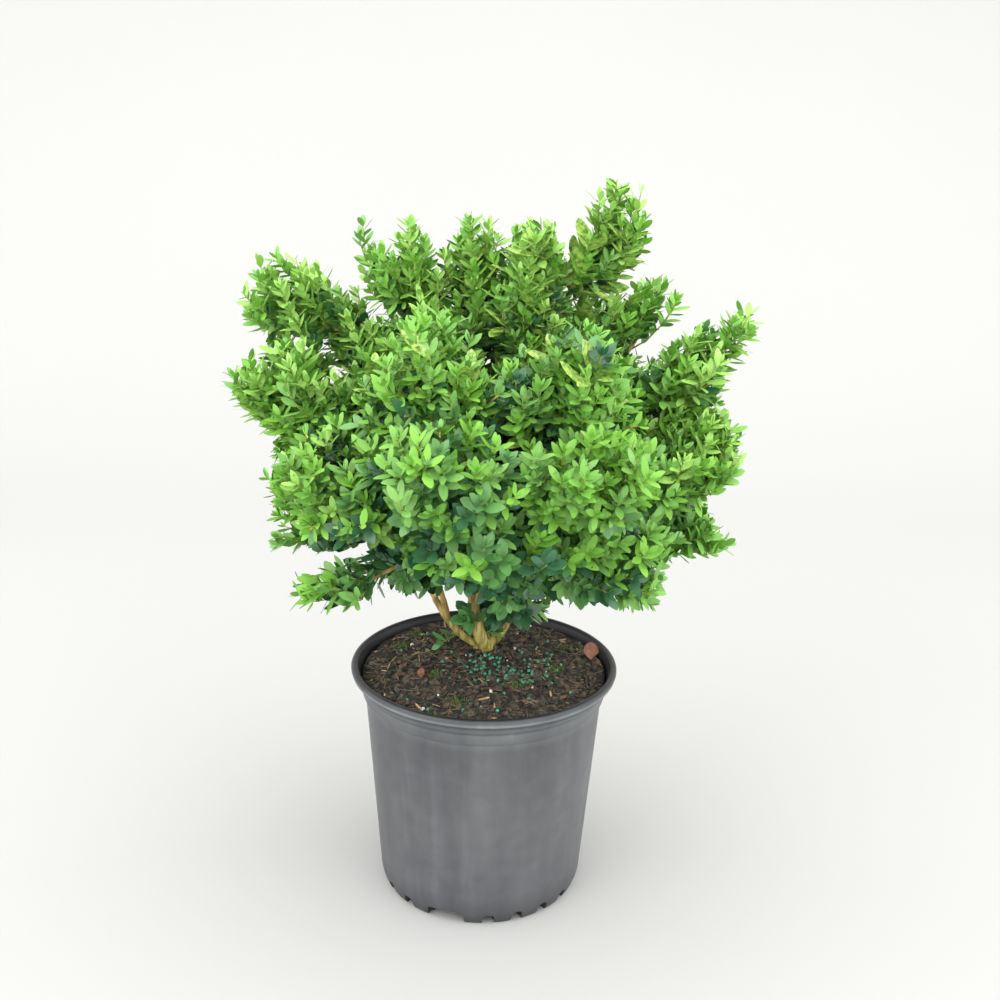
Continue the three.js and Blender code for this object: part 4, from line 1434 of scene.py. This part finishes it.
# Painted shade: darker kinds low in the crown, and in two patches of its low middle.
SHADED_BELOW = 0.9
SHADED_BETWEEN = (240, 360)
SHADED = {"chance": 0.62, "depth": 0.5}
SHADED_PATCHES = ((0, (60, 125), (330, 405)), (-45, (30, 80), (400, 455)))
OLD_SPRAYS = {"on": ("top_middle", "top_ridge", "right_upper", "front_right_upper"), "chance": 0.06}
OLD_WOOD = {"back": 26, "aged": 0.7, "oldest": 0.4}
LEAFY = {"woody": 0.72, "green": 0.9}
KINDS = ("bright", "fresh", "green", "deep", "old", "pale", "soft")
# Painted backlight: for each mass, the chance that a light spray takes the lighter soft kind.
PAINTED_BACKLIGHT = {"top_left": 0.5, "top_middle": 0.4, "top_ridge": 0.5, "top_right": 0.6}
PAINTED_BACKLIGHT |= {"left_shoulder": 0.6, "left_side": 0.6, "left_front_side": 0.35}
PAINTED_BACKLIGHT |= {"right_shoulder": 0.5, "right_upper": 0.4, "right_side": 0.3}
PALE = {"top_right": 0.13, "top_ridge": 0.09, "top_middle": 0.05}
PALE |= {"front_left_upper": 0.05, "front_right_upper": 0.05}
PALE_SIZE = 1.8
KIND_AT_DEPTH = (0.3, 0.5, 0.65, 0.8, 1.0)
KIND_CHANCES = np.array(
    [
        [0.0, 0.03, 0.15, 0.38, 0.5],
        [0.03, 0.1, 0.3, 0.38, 0.38],
        [0.12, 0.37, 0.4, 0.2, 0.12],
        [0.35, 0.35, 0.13, 0.04, 0.0],
        [0.5, 0.15, 0.02, 0.0, 0.0],
    ]
)


def spray_kind(end, space, chance):
    """The kind of leaf on a twig that ends at a place."""
    depth = crown_depth(end[None])[0] + chance.uniform(-0.07, 0.07)
    # Painted shade: low in the crown and in the shaded patches a spray counts as deeper, so darker.
    depth -= SHADED_BELOW * max(0, 1 - depth) * np.interp(end[2], SHADED_BETWEEN, (1, 0))
    shaded = 0
    for middle, aside, height in SHADED_PATCHES:
        beside_it = np.interp(abs(end[0] - middle), aside, (1, 0))
        shaded = max(shaded, beside_it * np.interp(end[2], height, (1, 0)))
    depth -= SHADED["depth"] * (chance.random() < SHADED["chance"] * shaded)
    depth -= space.shade + (chance.random() < space.old_chance)
    weights = [np.interp(depth, KIND_AT_DEPTH, row) for row in KIND_CHANCES]
    kind = chance.choice(len(weights), p=np.array(weights) / sum(weights))
    # Painted backlight: a light spray may take the lighter soft kind.
    if kind < KINDS.index("deep") and chance.random() < space.soft_chance:
        kind = KINDS.index("soft")
    return kind


print("kinds of leaves:", KINDS)


# %% [markdown]
# Leaves sit on the twigs in opposite pairs, a quarter turn apart, closer and smaller towards each
# tip, where they stand up in a tuft. Along old wood most of them are last year's, darker.

# %% Pairs of leaves on a twig
def pairs_on(twig, space, chance):
    """A twig's leaf pairs: distance back from the tip, lean, size, kind, and how far it strays."""
    kind = spray_kind(twig.line.at(1), space, chance)
    at_tip = [row for row in TIP_PAIRS if row[0] < twig.line.length]
    rows = [(back, lean, size, kind, twig.stray) for back, lean, size in at_tip]
    back = TIP_PAIRS[-1][0] + LEAF["spacing"] * 0.8
    bare_from = twig.line.length * LEAFY["green" if twig.order > 1 else "woody"]
    while back < bare_from:
        on_old_wood = twig.order < 2 or back > OLD_WOOD["back"]
        aged = on_old_wood and chance.random() < OLD_WOOD["aged"]
        own_kind = KINDS.index("deep") + int(chance.random() < OLD_WOOD["oldest"]) if aged else kind
        pale = chance.random() < space.pale_chance
        own_kind, size = (KINDS.index("pale"), PALE_SIZE) if pale else (own_kind, 1)
        rows.append((back, chance.uniform(0.75, 1.0), size, own_kind, twig.stray))
        back += LEAF["spacing"] * chance.uniform(0.85, 1.2)
    return rows


print("pairs at a twig's tip, as (back, lean, size):", TIP_PAIRS)


# %% [markdown]
# A leaf leans out from its twig, and its face looks up the twig and a little to the light. All
# leaves of a mass are laid out at once as rows of one table. Those whose tips would leave the
# mass's space by more than a little are dropped.

# %% Leaves of a mass
FACE_PULL = {"up": 0.3, "out": 0.15}


def crossed(a, b):
    """Cross products of two arrays of directions, quicker than the library's for long arrays."""
    turns = [(k, (k + 1) % 3, (k + 2) % 3) for k in range(3)]
    return np.stack([a[:, i] * b[:, j] - a[:, j] * b[:, i] for k, i, j in turns], 1)


def units(vectors):
    """Each row of an array as a direction of length one."""
    return vectors / np.linalg.norm(vectors, axis=1, keepdims=True)


def grow_leaves(twigs, space, chance):
    """All leaves of a mass, one row each: kind, root, way, across, face and shape."""
    roots, ways, turns, rest = [], [], [], []
    for twig in twigs:
        rows = np.array(pairs_on(twig, space, chance))
        shares = 1 - rows[:, 0] / twig.line.length
        first_turn = chance.uniform(0, math.pi)
        for half in (0, math.pi):
            roots += [twig.line.at(share) for share in shares]
            ways += [twig.line.way(share) for share in shares]
            turns.append(first_turn + half + np.arange(len(rows)) * math.pi / 2)
            rest.append(rows)
    root, heading, turn, rows = np.array(roots), np.array(ways), np.concatenate(turns), np.vstack(rest)
    count = len(root)
    level = crossed(heading, np.broadcast_to(UP, heading.shape))
    level = units(level + (np.linalg.norm(level, axis=1, keepdims=True) < 0.05) * np.array([1.0, 0, 0]))
    turn = (turn + chance.uniform(-0.2, 0.2, count))[:, None]
    side = level * np.cos(turn) + crossed(heading, level) * np.sin(turn)
    lean = (rows[:, 1] + chance.uniform(-0.16, 0.16, count))[:, None]
    way = units(side * np.sin(lean) + heading * np.cos(lean))
    to_light = UP * FACE_PULL["up"]
    face = crossed(crossed(side, heading), way) + to_light
    face = face + units(root - CROWN_HEART) * FACE_PULL["out"]
    face = units(face - way * (face * way).sum(1, keepdims=True))
    old = (rows[:, 3] == KINDS.index("deep")) | (rows[:, 3] == KINDS.index("old"))
    size = rows[:, 2] * chance.uniform(0.85, 1.15, count) * space.leaf_size
    length = np.where(old, LEAF["old_length"], LEAF["length"]) * size
    width = np.where(old, LEAF["old_width"], LEAF["width"]) * size * chance.uniform(0.88, 1.12, count)
    fold, curl = chance.uniform(0.12, 0.36, count), chance.uniform(-0.06, 0.18, count)
    shape = np.stack([length, width, fold, curl], 1)
    table = np.hstack([rows[:, 3:4], root, way, crossed(way, face), face, shape])
    tips = root + way * length[:, None]
    kept = space.inside(tips, LEAF_PAST + space.shape["over"])
    return table[kept & space.reached(tips, LEAF_ROOM + rows[:, 4])]


print("a leaf is", LEAF["length"], "mm long, an old one", LEAF["old_length"], "mm")


# %% [markdown]
# Each mass now gets its own settings: leaves are a little larger low in the crown than at the
# top, and the chances of pale, old and soft sprays follow the photograph.

# %% Growing the leaves
LARGER_LOW = ((300, 1.08), (430, 1.0), (520, 0.94))
grown = []
for mass in masses:
    space = spaces[mass.name]
    space.leaf_size = np.interp(mass.tip[2], *zip(*LARGER_LOW))
    space.pale_chance = PALE.get(mass.name, 0)
    space.old_chance = OLD_SPRAYS["chance"] * (mass.name in OLD_SPRAYS["on"])
    space.soft_chance = PAINTED_BACKLIGHT.get(mass.name, 0)
    space.shade = 0
    grown.append(grow_leaves(twigs_of[mass.name], space, np.random.default_rng(mass.seed)))
open_space.leaf_size, open_space.shade = 1, SPRIG["shade"]
open_space.pale_chance = open_space.old_chance = open_space.soft_chance = 0
grown.append(grow_leaves(sprigs, open_space, np.random.default_rng(FOLIAGE["seed"])))
grown = np.vstack(grown)
leaves = {kind: grown[grown[:, 0] == k, 1:] for k, kind in enumerate(KINDS)}
print("leaves of each kind:", {kind: len(rows) for kind, rows in leaves.items()})


# %% [markdown]
# A leaf is a folded oval of a few faces: a row of points down the midrib, and one down each edge.
# It could be a flat card with a picture of a leaf on it, but then it would have no outline and
# no fold of its own.

# %% The mesh of a leaf
LEAF_ROWS = np.array([0, 0.16, 0.42, 0.72, 0.92, 1])
LEAF_OUTLINE = np.array([0, 0.5, 1, 0.88, 0.42, 0])


def leaf_pattern():
    """The points of one leaf, as share along, side and share of half width, and its triangles."""
    count = len(LEAF_ROWS)
    points = [(t, 0, 0) for t in LEAF_ROWS]
    points += [(LEAF_ROWS[k], side, LEAF_OUTLINE[k]) for side in (-1, 1) for k in range(1, count - 1)]
    triangles = []
    for side in (0, 1):
        edge = [0, *[count + side * (count - 2) + k for k in range(count - 2)], count - 1]
        for k in range(count - 1):
            quad = [k, edge[k], edge[k + 1], k + 1]
            quad = quad if side else quad[::-1]
            triangles += [t for t in (quad[:3], [quad[0], *quad[2:]]) if len(set(t)) == 3]
    return np.array(points), np.array(triangles)


def leaf_mesh(name, rows):
    pattern, triangles = leaf_pattern()
    rows = np.array(rows)
    root, way, across, face = (rows[:, None, k : k + 3] for k in (0, 3, 6, 9))
    length, width, fold, curl = (rows[:, None, k] for k in (12, 13, 14, 15))
    along, side, share = pattern.T
    beside_rib = side * share * width / 2
    rise = np.abs(beside_rib) * fold - curl * length * along**2 - 0.1 * width * share**2
    points = root + way * (along * length)[..., None] + across * beside_rib[..., None]
    points = points + face * rise[..., None]
    faces = triangles + (np.arange(len(rows)) * len(pattern))[:, None, None]
    return mesh_piece(name, points.reshape(-1, 3), faces.reshape(-1, 3))


print("triangles of a leaf:", len(leaf_pattern()[1]))


# %% [markdown]
# All the leaves of one kind are one mesh, or a few where there are too many for one, because
# thousands of separate objects would only slow the scene down. Each kind has its own plain
# colour, and the old ones shine, as old boxwood leaves do.

# %% Leaves of the crown
MOST_LEAVES = 12000


def dealt_out(rows):
    """The rows dealt over as many pieces as keep each to the most leaves a piece may have."""
    pieces = math.ceil(len(rows) / MOST_LEAVES)
    return [rows[k::pieces] for k in range(pieces)]


LEAF_FINISH = {
    "bright": (((108, 166, 56), (122, 178, 64)), 0.55, "foliage"),
    "fresh": (((107, 163, 66), (122, 175, 74)), 0.55, "foliage"),
    "green": (((104, 156, 72), (118, 166, 82)), 0.55, "foliage"),
    "deep": (((80, 130, 70), (98, 148, 80)), 0.42, "heart_foliage"),
    "old": (((44, 88, 58), (60, 106, 66)), 0.3, "heart_foliage"),
    "pale": (((84, 134, 50), (178, 204, 100)), 0.5, "foliage"),
    # The soft kind is a lighter copy of the young leaves, a painted backlight.
    "soft": (((136, 184, 84), (152, 196, 96)), 0.55, "foliage"),
}
foliage_nodes = ["foliage_" + mass.name for mass in masses]
for kind, ((darker, lighter), roughness, slot) in LEAF_FINISH.items():
    tone_steps = [(0.35, linear(*darker)), (0.65, linear(*lighter))]
    mottling = 320 if kind == "pale" else 60
    material = finish("leaf " + kind, tone_steps, mottling, roughness, 900, 0.05)
    for number, rows in enumerate(dealt_out(leaves[kind]), start=1):
        name = f"leaves_{kind}_{number}"
        settle(leaf_mesh(name, rows), name, material, slot, *foliage_nodes)


# %% [markdown]
# A few dead leaves have dropped on the soil. They use the same mesh, laid flat and curled up.

# %% Fallen leaves
FALLEN = (
    (91, 16, 15, 13, 1.5, 1.1),
    (-30, 50, 12, 7, 0.6, 0.25),
    (12, -52, 13, 7, 4.0, 0.25),
    (-52, -30, 11, 6, 1.5, 0.25),
    (48, 30, 12, 6, 5.1, 0.25),
)
fallen = []
for x, y, length, width, turn, rise in FALLEN:
    way = unit(np.array([math.cos(turn), math.sin(turn), rise]))
    across = unit(np.cross(way, UP))
    root = np.array([x, y, soil_level(x, y) + 2])
    fallen.append([*root, *way, *across, *np.cross(across, way), length, width, 0.5, -0.2])
dead_tones = [(0.35, linear(104, 66, 50)), (0.65, linear(146, 100, 76))]
dead_leaf = finish("dead leaf", dead_tones, 200, 0.7, 700, 0.1)
settle(leaf_mesh("fallen_leaves", fallen), "fallen_leaves", dead_leaf, "soil", "soil")


# %% [markdown]
# Twigs are thin tubes too, each with its foot inside the twig that bears it. The two whorls and
# the spines have tan bark like the boughs. The finer ones are still green.

# %% Twig meshes
def twig_piece(name, twigs, rows, sides, material, slot, *nodes):
    thick, thin = [twig.thick for twig in twigs], [twig.thin for twig in twigs]
    points, faces = tubes([twig.line for twig in twigs], thick, thin, rows, sides)
    return settle(mesh_piece(name, points, faces), name, material, slot, *nodes)


every_twig = [twig for twigs in twigs_of.values() for twig in twigs] + sprigs
green_tones = [(0.35, linear(112, 138, 52)), (0.65, linear(150, 170, 70))]
green_bark = finish("green young bark", green_tones, 120, 0.6, 500, 0.15)
woody = [twig for twig in every_twig if twig.order < 2]
slender = [twig for twig in every_twig if twig.order >= 2]
twig_piece("woody_twigs", woody, 8, 7, tan_bark, "bough", *foliage_nodes)
twig_piece("green_shoots", slender, 3, 4, green_bark, "foliage", *foliage_nodes)
